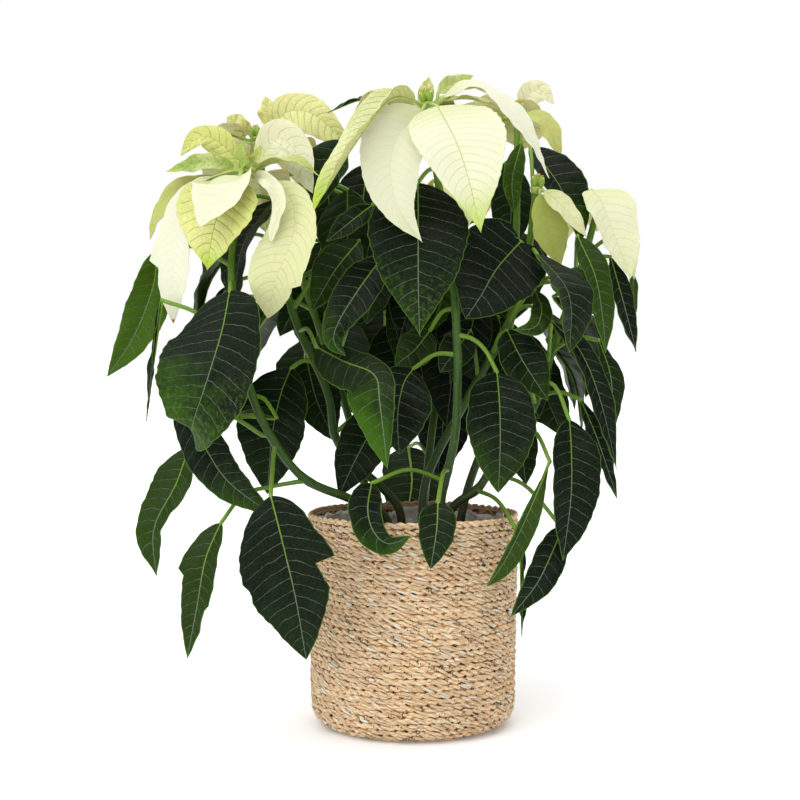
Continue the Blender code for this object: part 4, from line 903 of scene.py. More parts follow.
def fine_tube(gathered, route, radii, sides, slot, **values):
    """A closed round tube whose first value runs from 0 to 1 along it."""
    route = np.array(route, float)
    tangents = unit(np.gradient(route, axis=0))
    angles = np.arange(sides) * 2 * np.pi / sides
    rings = []
    across = np.array([1.0, 0.0, 0.0] if abs(tangents[0, 0]) <= 0.9 else [0.0, 1.0, 0.0])
    for place, tangent, radius in zip(route, tangents, radii):
        across = unit(across - (across @ tangent) * tangent)
        other = np.cross(tangent, across)
        ring = np.cos(angles)[:, None] * across + np.sin(angles)[:, None] * other
        rings.append(place + radius * ring)
    foot = route[:1] - tangents[:1] * radii[0] * 0.3
    top = route[-1:] + tangents[-1:] * radii[-1] * 0.3
    points = np.vstack([*rings, foot, top])
    index = np.arange(len(route) * sides).reshape(-1, sides)
    after = np.roll(index, -1, axis=1)
    quads = np.stack([index[:-1], after[:-1], after[1:], index[1:]], axis=-1).reshape(-1, 4)
    last = len(route) * sides
    start = np.stack([after[0], index[0], np.full(sides, last)], axis=-1)
    end = np.stack([index[-1], after[-1], np.full(sides, last + 1)], axis=-1)
    share = np.repeat(np.linspace(0, 1, len(route)), sides)
    turn = np.tile(np.arange(sides) / sides, len(route))
    place = np.stack([share, turn, share * 0], axis=-1)
    place = np.vstack([place, [0, 0, 0], [1, 0, 0]])
    gathered.add(points, [quads, np.vstack([start, end])], slot, place=place, **values)


def stalk_and_rib(gathered, place, blade, spine, normals, along, radius, slot, tone):
    """The stalk from the stem to the blade, which runs on as a rib under its midrib."""
    stalk = smooth(stalk_route(place, blade, STALK_SAMPLES)[::-1], STALK_SAMPLES)
    steps = np.linspace(0.03, 0.9, RIB_SAMPLES)
    rib = np.stack([np.interp(steps, along, spine[:, k]) for k in range(3)], axis=1)
    down = np.stack([np.interp(steps, along, normals[:, k]) for k in range(3)], axis=1)
    thinner = radius * (0.75 - 0.62 * steps)
    rib = rib - down * (thinner * 0.85 + 0.1)[:, None]
    route = np.vstack([stalk, rib])
    swell = 1 + 0.35 * np.exp(-np.linspace(0, 8, len(stalk)))
    radii = np.concatenate([radius * swell, thinner])
    fine_tube(gathered, route, radii, STALK_SIDES, slot, tone=tone)


def leaf_look(place, number, draws):
    look = LEAF_LOOKS.get(place, {}).get(number)
    drawn = draws.uniform(size=3)
    return look or (0.22 * drawn[0] ** 2, 0.5 * drawn[1] ** 2, 0.35 * drawn[2] ** 3)


def bract_look(place, number, draws):
    look = BRACT_LOOKS.get(place, {}).get(number)
    drawn = draws.uniform(size=6)
    return look or (0.1 + 0.5 * drawn[0], 0.12 * drawn[1], 0.0, 0.2 + 0.6 * drawn[3], 0.5 * drawn[4], 0.0)


def fine_stem(gathered, place, heights, slot):
    """The stem with a swelling at each leaf."""
    points = stem_points(place)
    route = smooth(np.vstack([points[:1], points[2:]]), FINE_STEM_SAMPLES)
    radii = np.linspace(STEM_FOOT_RADIUS, STEM_TIP_RADIUS, len(route))
    for height in heights:
        radii = radii * (1 + 0.16 * np.exp(-(((route[:, 2] - height) / 2.6) ** 2)))
    fine_tube(gathered, route, radii, FINE_STEM_SIDES, slot, tone=(0, 0, 0))


def build_leaves(placed, materials, draws):
    for place in STEMS:
        gathered = Gathered()
        fine_stem(gathered, place, [blade.stem_height for blade, _ in placed["leaves"][place]], 2)
        for number, (blade, phase) in enumerate(placed["leaves"][place]):
            look = leaf_look(place, number if number < len(LEAVES[place]) else -1, draws)
            relief = LEAF_RELIEF * (FRESH_RELIEF if look[0] > 0.8 else 1.0)
            values = {"tone": look}
            found = fine_blade(gathered, blade, phase, LEAF_SHEET, LEAF_VEINS, relief, LEAF_FRILL,
                               values)
            stalk_and_rib(gathered, place, blade, *found, STALK_RADIUS, 1, look)
        gathered.piece(f"leaves_{place}", materials, [f"leafy_stem_{place}"])


def build_bracts(placed, materials, draws):
    for place in STEMS:
        gathered = Gathered()
        top, axis = stem_end(place)
        start = top + axis * GAP
        steps = np.linspace(-0.6, HUB_HEIGHT, 7)
        head = [start + axis * step for step in steps]
        fine_tube(gathered, head, HUB_RADIUS * np.linspace(0.62, 0.98, 7), 14, 1, tone=(0, 0, 0.8))
        for number, (blade, phase) in enumerate(placed["bracts"][place]):
            look = bract_look(place, number if number < len(BRACTS[place]) else -1, draws)
            values = {"tone": look[:3], "mark": look[3:]}
            relief = 0.12 + 0.55 * look[3]
            found = fine_blade(gathered, blade, phase, BRACT_SHEET, BRACT_VEINS, relief, BRACT_FRILL,
                               values)
            stalk_and_rib(gathered, place, blade, *found, BRACT_STALK_RADIUS, 1, look[:3])
        gathered.piece(f"bracts_{place}", materials, [f"bloom_{place}"])


def round_bud(gathered, centre, axis, radius, length, sides, slot):
    """A plump bud whose first value runs from 0 at its foot to 1 at its top."""
    steps = np.linspace(0, 1, 9)
    swell = np.sin(np.pi * np.clip(0.12 + 0.8 * steps, 0, 1)) ** 0.75
    route = [centre + axis * length * (step - 0.5) for step in steps]
    fine_tube(gathered, route, radius * swell, sides, slot, tone=(0, 0, 0))


def build_buds(materials, draws):
    for place in STEMS:
        gathered = Gathered()
        axis, centres = bud_places(place)
        middle = np.mean(centres, axis=0)
        for centre in centres:
            round_bud(gathered, centre, axis, BUD_RADIUS * 1.05, BUD_LENGTH, 12, 0)
            out = unit(centre - middle + 0.01 * axis)
            top = centre + axis * BUD_LENGTH * 0.42
            gland = top + out * BUD_RADIUS * 0.55 - axis * 0.8
            round_bud(gathered, gland, unit(out + 0.6 * axis), 1.0, 1.7, 10, 1)
            for turn in range(5):
                angle = 2 * math.pi * turn / 5 + draws.uniform(0, 1)
                sideways = unit(np.cross(axis, [0.3, 1.0, 0.1]))
                aside = math.cos(angle) * sideways + math.sin(angle) * np.cross(axis, sideways)
                foot = top + aside * 0.6
                end = foot + axis * 1.5 + aside * 0.6
                route = [foot, (foot + end) / 2, end]
                fine_tube(gathered, route, [0.22, 0.2, 0.34], 6, 2, tone=(0, 0, 0))
        gathered.piece(f"cyathia_{place}", materials, [f"buds_{place}"])


def coil_profile():
    """Where the rope's rows run: out over the base, round the foot and up the wall."""
    turn = FOOT_ROUNDING - ROPE_RADIUS
    foot = wall_radius(FOOT_ROUNDING) - FOOT_ROUNDING
    angles = np.linspace(0, math.pi / 2, 24)
    arc = [(foot + turn * math.sin(a), FOOT_ROUNDING - turn * math.cos(a)) for a in angles]
    levels = np.linspace(FOOT_ROUNDING + 1, BASKET_HEIGHT - ROPE_RADIUS, 60)
    wall = [(wall_radius(z) - ROPE_RADIUS, z) for z in levels]
    line = np.array(arc + wall)
    run = np.concatenate([[0], np.cumsum(np.linalg.norm(np.diff(line, axis=0), axis=1))])
    wanted = np.linspace(0, run[-1], ROPE_ROWS)
    return [(np.interp(w, run, line[:, 0]), np.interp(w, run, line[:, 1])) for w in wanted]


def drift(angles, draws, size, turns=(2, 3, 5, 9)):
    """A slow, seeded wander round a closed ring."""
    waves = (draws.normal() * 0.5 * np.sin(turn * angles + draws.uniform(0, 6.3)) for turn in turns)
    return size * sum(waves)


def rope_ring(gathered, radius, height, draws, scale=1.0):
    """One closed row of two straw strands twisted round each other."""
    samples = max(24, int(2 * math.pi * radius / STRAND_STEP))
    angles = np.linspace(0, 2 * np.pi, samples, endpoint=False)
    bearing = np.degrees(angles)
    inward = np.array([dent(height, b) for b in bearing]) if radius > 60 else 0.0
    ring_radius = radius - inward + drift(angles, draws, 0.22)
    ring_height = height + drift(angles, draws, 0.16)
    twists = max(3, round(2 * math.pi * radius / TWIST_LENGTH))
    out = np.stack([np.cos(angles), np.sin(angles), angles * 0], axis=1)
    up = np.array([0.0, 0.0, 1.0])
    middle = out * ring_radius[:, None] + up * ring_height[:, None]
    start = draws.uniform(0, 6.3)
    sway = drift(angles, draws, 0.5, (7, 11, 17))
    corners = np.arange(STRAND_SIDES) * 2 * np.pi / STRAND_SIDES
    for strand in range(2):
        twist = -twists * angles + start + strand * np.pi + sway
        deep, high = (scale * reach for reach in STRAND_TWIST)
        core = middle + deep * np.cos(twist)[:, None] * out + high * np.sin(twist)[:, None] * up
        core = np.vstack([core[-1:], core, core[:1]])
        tangents = unit(core[2:] - core[:-2])
        core = core[1:-1]
        across = unit(np.cross(tangents, np.cross(out, tangents)))
        other = np.cross(tangents, across)
        grain = draws.normal(size=(samples, STRAND_SIDES))
        grain = (grain + np.roll(grain, 1, 0) + np.roll(grain, 2, 0) + np.roll(grain, 3, 0)) / 4
        steady = draws.normal(size=STRAND_SIDES)
        size = scale * STRAND_RADIUS * (1 + 0.13 * grain + 0.05 * steady)
        lumps = 1 + 0.1 * np.sin(3.1 * twist + draws.uniform(0, 6))
        size = size * lumps[:, None]
        turned_by = corners[None, :] + 1.5 * twist[:, None]
        directions = (np.cos(turned_by)[..., None] * across[:, None]
                      + np.sin(turned_by)[..., None] * other[:, None])
        points = (core[:, None] + directions * size[..., None]).reshape(-1, 3)
        points[:, 2] = np.maximum(points[:, 2], 0)
        index = np.arange(samples * STRAND_SIDES).reshape(samples, STRAND_SIDES)
        ahead = np.roll(index, -1, axis=0)
        slip = round(1.5 * twists * STRAND_SIDES) % STRAND_SIDES
        ahead[-1] = np.roll(ahead[-1], slip)
        beside, ahead_beside = np.roll(index, -1, axis=1), np.roll(ahead, -1, axis=1)
        quads = np.stack([index, ahead, ahead_beside, beside], axis=-1).reshape(-1, 4)
        run = np.repeat(angles * radius, STRAND_SIDES)
        straw = np.stack([np.tile(np.cos(corners), samples),
                          np.tile(np.sin(corners), samples), run], axis=-1)
        # Painted shade: how far each point lies inside the rope's outer face; the straw colour darkens
        # with it.
        outside = radius - inward + ROPE_RADIUS
        depth = np.repeat(outside, STRAND_SIDES) if radius > 60 else outside + np.zeros(len(points))
        depth = depth - np.linalg.norm(points[:, :2], axis=1)
        tone = np.stack([depth * 0 + draws.uniform(0, 100), depth, depth * 0], axis=-1)
        gathered.add(points, [quads], straw=straw, tone=tone)


def loose_straws(gathered, draws):
    """Flat straws that lie slanting on the rope, many of them painted pale as glints, a painted
    highlight.
    """
    for _ in range(LOOSE_STRAWS):
        bearing = draws.uniform(0, 360)
        height = draws.uniform(5, BASKET_HEIGHT - 5)
        angle = math.radians(bearing)
        radius = wall_radius(height) - dent(height, bearing) + draws.uniform(-0.5, 0.1)
        out = np.array([math.cos(angle), math.sin(angle), 0.0])
        aside = np.array([-math.sin(angle), math.cos(angle), 0.0])
        slant = unit(aside - np.array([0, 0, draws.uniform(0.1, 0.6)]))
        length = draws.uniform(4, 11)
        width = draws.uniform(0.45, 1.25)
        steps = np.linspace(-0.5, 0.5, 6)
        upward = np.cross(out, slant)
        edge = width * np.sqrt(np.clip(1 - (2.1 * steps) ** 4, 0.05, 1))
        rise = 0.25 * np.cos(np.pi * steps) - 0.25 - 0.02 * (steps * length) ** 2
        line = out * radius + [0, 0, height] + slant * (steps * length)[:, None] + out * rise[:, None]
        rings = [line + upward * edge[:, None], line + out * 0.3,
                 line - upward * edge[:, None], line - out * 0.3]
        points = np.stack(rings, axis=1).reshape(-1, 3)
        index = np.arange(24).reshape(6, 4)
        after = np.roll(index, -1, axis=1)
        quads = np.stack([index[:-1], after[:-1], after[1:], index[1:]], axis=-1).reshape(-1, 4)
        ends = np.array([index[0][::-1], index[-1]])
        run = np.repeat(steps * length, 4)
        straw = np.stack([np.tile([1.0, 0.0, -1.0, 0.0], 6),
                          np.tile([0.0, 1.0, 0.0, -1.0], 6), run], axis=-1)
        # The third value sets how pale the straw is painted: its near white is a painted highlight
        # standing for glints.
        kind = 2 + draws.uniform() ** 3
        gathered.add(points, [quads, ends], straw=straw, tone=(draws.uniform(0, 100), 0, kind))


def build_basket(draws):
    rope = rope_material()
    # The core's dark colour is painted shade for the gaps between the rope rows.
    dark = gap_shade_material()
    rows = coil_profile()
    for name, part_rows in (("foot", rows[:12]), ("wall", rows[12:24]), ("rim", rows[24:])):
        gathered = Gathered()
        for radius, height in part_rows:
            rope_ring(gathered, radius, height, draws)
        if name == "rim":
            for level, below in INSIDE_ROWS:
                rope_ring(gathered, inner_radius(level) + 1.7, BASKET_HEIGHT - below, draws, INSIDE_SCALE)
        gathered.piece(f"rope_{name}", [rope], ["basket"], sharp=None)
    straws = Gathered()
    loose_straws(straws, draws)
    straws.piece("loose_straws", [rope], ["basket"], sharp=None)
    base = Gathered()
    first_radius = rows[0][0]
    for number in range(1, int(first_radius / BASE_PITCH)):
        rope_ring(base, first_radius - BASE_PITCH * number, ROPE_RADIUS, draws)
    base.piece("rope_base", [rope], ["basket"], sharp=None)
    core = Gathered()
    profile = [(0, 2.4), (wall_radius(0) - 4, 2.4)]
    levels = np.concatenate([np.linspace(4, 18, 8), np.linspace(24, BASKET_HEIGHT - 4, 26)])
    profile += [(wall_radius(z) - CORE_DEPTH, z) for z in levels]
    profile += [(inner_radius(z), z) for z in levels[::-1] if z > BASKET_FLOOR + 1]
    profile += [(inner_radius(BASKET_FLOOR), BASKET_FLOOR), (0, BASKET_FLOOR)]

    def shape(radius, height, bearing):
        return radius - dent(height, bearing), height

    points, faces = turned(profile, 120, shape)
    core.add(points, faces)
    core.piece("basket_core", [dark], ["basket"])


def film_wrinkle(bearing, height, draws_phase):
    """How far the film folds inward at a place, more towards its free top."""
    angle = math.radians(bearing)
    loose = max(0.0, (height - 118) / 31) ** 1.5
    folds = 0.5 + 0.5 * math.sin(7 * angle + 0.04 * height + draws_phase)
    folds += 0.35 * (1 + math.sin(17 * angle - 0.09 * height + 2 * draws_phase))
    small = 0.3 * (1 + math.sin(41 * angle + 0.5 * height))
    small *= (1 + math.sin(0.7 * height + 11 * angle)) / 2
    return 0.15 + small * 0.5 + loose * (2.2 * folds + small)


def build_liner():
    levels = np.concatenate([np.linspace(BASKET_FLOOR + 3, 110, 14), np.linspace(114, LINER_TOP, 15)])
    foot = inner_radius(BASKET_FLOOR) - LINER_CLEARANCE
    outer = [(inner_radius(z) - LINER_CLEARANCE, z) for z in levels]
    profile = [(0, LINER_FOOT), (foot, LINER_FOOT), *outer]
    profile += [(radius - FILM_SHEET, z - 0.01) for radius, z in reversed(outer)]
    profile += [(foot - FILM_SHEET, LINER_FOOT + FILM_SHEET), (0, LINER_FOOT + FILM_SHEET)]

    def shape(radius, height, bearing):
        rise = max(0.0, (height - 130) / (LINER_TOP - 130))
        raised = rise * (liner_edge(bearing) + 0.8 * math.sin(math.radians(bearing) * 23))
        if height < BASKET_FLOOR + 2:
            return radius, height
        return radius - dent(height, bearing) - film_wrinkle(bearing, height, 1.3), height + raised

    points, faces = turned(profile, FILM_SEGMENTS, shape)
    film = Gathered()
    film.add(points, faces)
    film.piece("film", [film_material()], ["liner"], sharp=None)


def build_soil(draws):
    """Loose soil with crumbs on it."""
    lip = POT_TOP - POT_LIP_DROP
    inside = POT_WALL + 0.5
    slope = (POT_TOP_RADIUS - POT_FOOT_RADIUS) / (lip - POT_FOOT)
    edge = POT_FOOT_RADIUS - inside + slope * (SOIL_TOP - POT_FOOT)
    foot = POT_FOOT + POT_WALL + 0.4
    rings = np.linspace(edge - 1.5, 0, 18)[:-1]
    profile = [(0, foot), (POT_FOOT_RADIUS - inside, foot), (edge, SOIL_TOP - 2)]
    profile += [(radius, SOIL_TOP - SOIL_SINK) for radius in [*rings, 0]]
    phases = draws.uniform(0, 6.3, 8)

    def shape(radius, height, bearing):
        if height < SOIL_TOP - 1.5:
            return radius, height
        x, y = radius * math.cos(math.radians(bearing)), radius * math.sin(math.radians(bearing))
        bump = math.sin(0.31 * x + phases[0]) * math.sin(0.27 * y + phases[1])
        bump += 0.6 * math.sin(0.83 * x + 0.4 * y + phases[2]) * math.sin(0.9 * y - 0.3 * x + phases[3])
        return radius, height + 0.6 * bump

    gathered = Gathered()
    points, faces = turned(profile, 90, shape)
    gathered.add(points, faces)
    for _ in range(SOIL_CRUMBS):
        angle, radius = draws.uniform(0, 2 * math.pi), edge * math.sqrt(draws.uniform(0, 0.96))
        centre = np.array([radius * math.cos(angle), radius * math.sin(angle), SOIL_TOP - 1.0])
        size = draws.uniform(0.7, 2.0)
        axis = unit(draws.normal(size=3))
        route = [centre + axis * size * step for step in (-0.9, -0.45, 0.1, 0.6, 0.95)]
        fine_tube(gathered, route, size * np.array([0.35, 0.85, 1.0, 0.75, 0.3]), 6, 0, tone=(0, 0, 0))
    gathered.piece("soil_crumbs", [soil_material()], ["soil"], sharp=None)


class Graph:
    """Short ways to put nodes into a material."""

    def __init__(self, name):
        self.material = bpy.data.materials.new(name)
        self.material.use_nodes = True
        self.tree = self.material.node_tree
        self.shader = self.tree.nodes["Principled BSDF"]

    def node(self, kind, **settings):
        node = self.tree.nodes.new(kind)
        for key, value in settings.items():
            setattr(node, key, value)
        return node

    def put(self, socket, value):
        if isinstance(value, bpy.types.NodeSocket):
            self.tree.links.new(value, socket)
        elif isinstance(value, tuple) and len(value) == 3 and socket.type == "RGBA":
            socket.default_value = (*value, 1)
        else:
            socket.default_value = value

    def math(self, operation, *values):
        node = self.node("ShaderNodeMath", operation=operation)
        for socket, value in zip(node.inputs, values):
            self.put(socket, value)
        return node.outputs[0]

    def times(self, first, second):
        return self.math("MULTIPLY", first, second)

    def scaled(self, value, scale, added):
        return self.math("MULTIPLY_ADD", value, scale, added)

    def grade(self, value, low, high, first=0.0, last=1.0):
        """A soft step from first to last as value goes from low to high."""
        node = self.node("ShaderNodeMapRange", interpolation_type="SMOOTHSTEP")
        for socket, item in zip(node.inputs, (value, low, high, first, last)):
            self.put(socket, item)
        return node.outputs[0]

    def mix(self, factor, first, second):
        node = self.node("ShaderNodeMix", data_type="RGBA")
        for number, value in ((0, factor), (6, first), (7, second)):
            self.put(node.inputs[number], value)
        return node.outputs[2]

    def parts(self, name):
        attribute = self.node("ShaderNodeAttribute", attribute_name=name)
        split = self.node("ShaderNodeSeparateXYZ")
        self.put(split.inputs[0], attribute.outputs["Vector"])
        return split.outputs[0], split.outputs[1], split.outputs[2]

    def join(self, x, y, z):
        node = self.node("ShaderNodeCombineXYZ")
        for socket, value in zip(node.inputs, (x, y, z)):
            self.put(socket, value)
        return node.outputs[0]

    def place(self):
        return self.node("ShaderNodeTexCoord").outputs["Object"]

    def noise(self, vector, scale, detail):
        node = self.node("ShaderNodeTexNoise")
        self.put(node.inputs["Vector"], vector)
        self.put(node.inputs["Scale"], scale)
        self.put(node.inputs["Detail"], detail)
        return node.outputs[0]

    def cells(self, vector, scale):
        """How far a place is from the nearest wall between seeded cells."""
        node = self.node("ShaderNodeTexVoronoi", feature="DISTANCE_TO_EDGE")
        self.put(node.inputs["Vector"], vector)
        self.put(node.inputs["Scale"], scale)
        return node.outputs["Distance"]

    def bump(self, height, distance, strength):
        node = self.node("ShaderNodeBump")
        self.put(node.inputs["Height"], height)
        self.put(node.inputs["Distance"], distance)
        self.put(node.inputs["Strength"], strength)
        self.put(self.shader.inputs["Normal"], node.outputs[0])

    def set(self, **values):
        for key, value in values.items():
            self.put(self.shader.inputs[key.replace("_", " ")], value)


def blade_lines(g, vein_width, sweep, wander):
    """Masks of a blade's side veins, midrib and margin, and the way along and across it."""
    along, across, side = g.parts("place")
    count, reach, spacing = g.parts("measure")
    away = g.math("ABSOLUTE", across)
    bent = g.times(g.times(away, away), sweep)
    shifted = g.times(g.math("LESS_THAN", across, 0.0), 0.5)
    shifted = g.scaled(g.math("SUBTRACT", g.noise(g.place(), 130, 1.0), 0.5), wander, shifted)
    cell = g.math("FRACT", g.scaled(g.math("SUBTRACT", along, bent), count, shifted))
    offset = g.times(g.math("ABSOLUTE", g.math("SUBTRACT", cell, 0.5)), spacing)
    narrowing = g.scaled(away, -0.5 * vein_width, vein_width)
    vein = g.math("SUBTRACT", 1.0, g.grade(g.math("DIVIDE", offset, narrowing), 0.35, 1.0))
    vein = g.times(vein, g.grade(away, 0.86, 0.97, 1.0, 0.0))
    from_middle = g.times(away, reach)
    from_edge = g.times(g.math("SUBTRACT", 1.0, away), reach)
    rib = g.grade(g.scaled(along, 0.35, from_middle), 0.3, 0.75, 1.0, 0.0)
    margin = g.grade(from_edge, 0.2, 0.75, 1.0, 0.0)
    return along, across, side, vein, rib, margin


def leaf_material():
    g = Graph("leaf_fine")
    along, across, side, vein, rib, margin = blade_lines(g, 0.36, LEAF_VEINS[1], 0.3)
    away = g.math("ABSOLUTE", across)
    fresh, tip, spots = g.parts("tone")
    where = g.place()
    broad = g.noise(where, 60, 3.0)
    fine = g.noise(where, 700, 2.0)
    broken = g.grade(g.noise(where, 420, 1.0), 0.3, 0.55)
    net = g.grade(g.cells(where, 420), 0.03, 0.12, 1.0, 0.0)
    dark = g.mix(broad, (0.0014, 0.0040, 0.0012), (0.0040, 0.0090, 0.0030))
    green = g.mix(fine, (0.028, 0.070, 0.002), (0.060, 0.125, 0.005))
    colour = g.mix(fresh, dark, green)
    low = g.math("ADD", along, g.times(g.math("SUBTRACT", broad, 0.5), 0.9))
    low = g.scaled(across, -0.14, low)
    turned_tip = g.times(g.grade(low, 0.4, 1.15), tip)
    colour = g.mix(turned_tip, colour, (0.045, 0.125, 0.003))
    colour = g.mix(g.times(net, 0.05), colour, (0.12, 0.19, 0.08))
    patches = g.times(g.grade(g.noise(where, 380, 3.0), 0.45, 0.75), spots)
    patches = g.times(patches, g.grade(g.scaled(away, 0.25, along), 0.5, 1.0))
    colour = g.mix(patches, colour, (0.09, 0.19, 0.015))
    # The underside is darker than the leaf's own paler back: partly its own colour, partly painted shade
    # for leaves seen from below inside the plant.
    beneath = g.mix(fine, (0.006, 0.015, 0.003), (0.012, 0.027, 0.006))
    beneath = g.mix(fresh, beneath, (0.07, 0.14, 0.015))
    colour = g.mix(side, beneath, colour)
    lines = g.times(vein, g.scaled(broken, 0.6, 0.3))
    colour = g.mix(g.times(lines, 0.6), colour, (0.15, 0.20, 0.15))
    rib_colour = g.mix(g.grade(along, 0.2, 0.7), (0.15, 0.27, 0.03), (0.15, 0.20, 0.13))
    colour = g.mix(g.times(rib, 0.9), colour, rib_colour)
    colour = g.mix(g.times(margin, 0.55), colour, (0.10, 0.22, 0.02))
    g.set(Base_Color=colour, Roughness=g.grade(fine, 0.2, 0.8, 0.36, 0.48), Specular_IOR_Level=0.09)
    relief = g.scaled(fine, 0.25, g.times(vein, -0.5))
    g.bump(g.scaled(g.noise(where, 1500, 2.0), 0.25, relief), 0.0003, 0.8)
    return g.material


def bract_material():
    g = Graph("bract_fine")
    along, _, side, vein, rib, margin = blade_lines(g, 0.55, BRACT_VEINS[1], 0.25)
    yellow, olive, green = g.parts("tone")
    veins, tip, dried = g.parts("mark")
    where = g.place()
    broad = g.noise(where, 45, 2.0)
    fine = g.noise(where, 500, 3.0)
    colour = g.mix(broad, (0.73, 0.73, 0.59), (0.69, 0.70, 0.51))
    cream = g.mix(broad, (0.72, 0.71, 0.26), (0.60, 0.64, 0.13))
    net = g.grade(g.cells(where, 300), 0.02, 0.14, 1.0, 0.0)
    colour = g.mix(yellow, colour, cream)
    # The olive mix is partly the bract's own olive green and partly painted shade on bracts seen from
    # below.
    colour = g.mix(olive, colour, g.mix(fine, (0.30, 0.34, 0.05), (0.42, 0.46, 0.09)))
    leafy = g.times(green, g.grade(g.math("ADD", broad, g.times(fine, 0.3)), 0.4, 0.75))
    colour = g.mix(leafy, colour, (0.15, 0.30, 0.02))
    near_base = g.grade(along, 0.0, 0.3, 0.35, 0.0)
    colour = g.mix(near_base, colour, (0.44, 0.52, 0.10))
    # The underside is painted darker and more olive: partly its own greener back, partly painted shade.
    beneath = g.mix(0.35, colour, (0.50, 0.54, 0.15))
    colour = g.mix(side, beneath, colour)
    tipped = g.times(g.grade(g.scaled(broad, 0.12, along), 0.72, 1.04), tip)
    colour = g.mix(tipped, colour, (0.42, 0.58, 0.05))
    lines = g.times(vein, g.scaled(veins, 0.75, 0.05))
    lines = g.math("MAXIMUM", lines, g.times(net, g.times(veins, 0.18)))
    colour = g.mix(lines, colour, (0.29, 0.32, 0.04))
    midrib = g.times(rib, g.scaled(tip, 0.85, g.times(veins, 0.3)))
    colour = g.mix(midrib, colour, (0.30, 0.43, 0.04))
    rim = g.times(margin, g.scaled(tip, 0.5, g.times(green, 0.5)))
    colour = g.mix(rim, colour, (0.40, 0.55, 0.06))
    brown = g.times(g.grade(along, 0.965, 0.985), dried)
    colour = g.mix(brown, colour, (0.33, 0.17, 0.05))
    g.set(Base_Color=colour, Roughness=g.grade(fine, 0.2, 0.8, 0.5, 0.64), Specular_IOR_Level=0.3)
    g.set(Subsurface_Weight=0.18, Subsurface_Scale=0.002)
    ridges = g.scaled(net, 0.4, vein)
    relief = g.times(ridges, g.scaled(veins, -0.8, -0.12))
    g.bump(g.scaled(fine, 0.35, relief), 0.0003, 0.7)
    return g.material


def stalk_material(name, low, high, fresh):
    g = Graph(name)
    along, _, _ = g.parts("place")
    where = g.place()
    streaks = g.noise(where, 260, 3.0)
    colour = g.mix(g.grade(along, 0.1, 0.8), low, high)
    colour = g.mix(g.times(streaks, 0.5), colour, fresh)
    g.set(Base_Color=colour, Roughness=0.42, Specular_IOR_Level=0.4)
    g.bump(g.noise(where, 800, 2.0), 0.0002, 0.5)
    return g.material


def stem_material():
    """Woody brown-green at the soil, green above, with fine ridges."""
    g = Graph("stem_fine")
    along, _, _ = g.parts("place")
    where = g.place()
    patchy = g.noise(where, 140, 3.0)
    rise = g.scaled(patchy, 0.25, along)
    colour = g.mix(g.grade(rise, 0.2, 0.45), (0.035, 0.036, 0.01), (0.03, 0.08, 0.005))
    colour = g.mix(g.grade(rise, 0.55, 1.1), colour, (0.11, 0.23, 0.015))
    scratches = g.grade(g.noise(where, 420, 4.0), 0.62, 0.75)
    colour = g.mix(g.times(scratches, 0.4), colour, (0.2, 0.26, 0.1))
    g.set(Base_Color=colour, Roughness=0.45, Specular_IOR_Level=0.4)
    g.bump(g.math("ADD", g.noise(where, 500, 3.0), patchy), 0.0005, 0.6)
    return g.material


def plain_fine(name, first, second, roughness, scale):
    g = Graph(name)
    where = g.place()
    colour = g.mix(g.noise(where, scale, 3.0), first, second)
    g.set(Base_Color=colour, Roughness=roughness)
    g.bump(g.noise(where, scale * 2, 2.0), 0.0003, 0.5)
    return g.material


def rope_material():
    """Dry straw: streaks along each strand in sand, brown and olive, painted shade deeper in the wall,
    and flat straws painted pale as glints.
    """
    g = Graph("rope_fine")
    x, y, run = g.parts("straw")
    seed, depth, kind = g.parts("tone")
    where = g.place()
    streak = g.join(g.times(x, 1.7), g.times(y, 1.7), g.scaled(run, 0.085, seed))
    straws = g.noise(streak, 1.0, 2.0)
    fibres = g.noise(g.join(g.times(x, 7.0), g.times(y, 7.0), g.scaled(run, 0.2, seed)), 1.0, 3.0)
    patches = g.noise(where, 55, 2.0)
    colour = g.mix(g.grade(straws, 0.32, 0.54), (0.80, 0.46, 0.22), (1.0, 0.75, 0.45))
    colour = g.mix(g.grade(patches, 0.45, 0.7, 0.0, 0.4), colour, (1.0, 0.70, 0.46))
    colour = g.mix(g.grade(g.noise(where, 120, 2.0), 0.6, 0.75, 0.0, 0.3), colour, (0.80, 0.64, 0.38))
    colour = g.mix(g.grade(straws, 0.54, 0.64), colour, (1.0, 0.92, 0.70))
    colour = g.mix(g.grade(fibres, 0.28, 0.42, 0.7, 0.0), colour, (0.50, 0.22, 0.10))
    # Painted shade: straw lying deeper inside the wall is darkened towards dark brown.
    colour = g.mix(g.grade(depth, 1.2, 2.6, 0.0, 0.6), colour, (0.36, 0.17, 0.07))
    # Painted highlight: straws with a high third value are painted near white as glints on the rope.
    colour = g.mix(g.grade(kind, 2.4, 2.98), colour, (1.0, 0.95, 0.82))
    g.set(Base_Color=colour, Roughness=g.grade(fibres, 0.3, 0.7, 0.9, 0.65), Specular_IOR_Level=0.3)
    g.bump(g.scaled(straws, 0.8, fibres), 0.0007, 0.9)
    return g.material


def gap_shade_material():
    # Painted shade: the core behind the rope rows is dark brown to near black, standing for the shade in
    # the gaps between rows.
    g = Graph("gap_shade_fine")
    where = g.place()
    colour = g.mix(g.grade(g.noise(where, 300, 3.0), 0.4, 0.6), (0.05, 0.025, 0.01), (0.50, 0.28, 0.13))
    g.set(Base_Color=colour, Roughness=0.95)
    g.bump(g.noise(where, 600, 3.0), 0.001, 0.8)
    return g.material


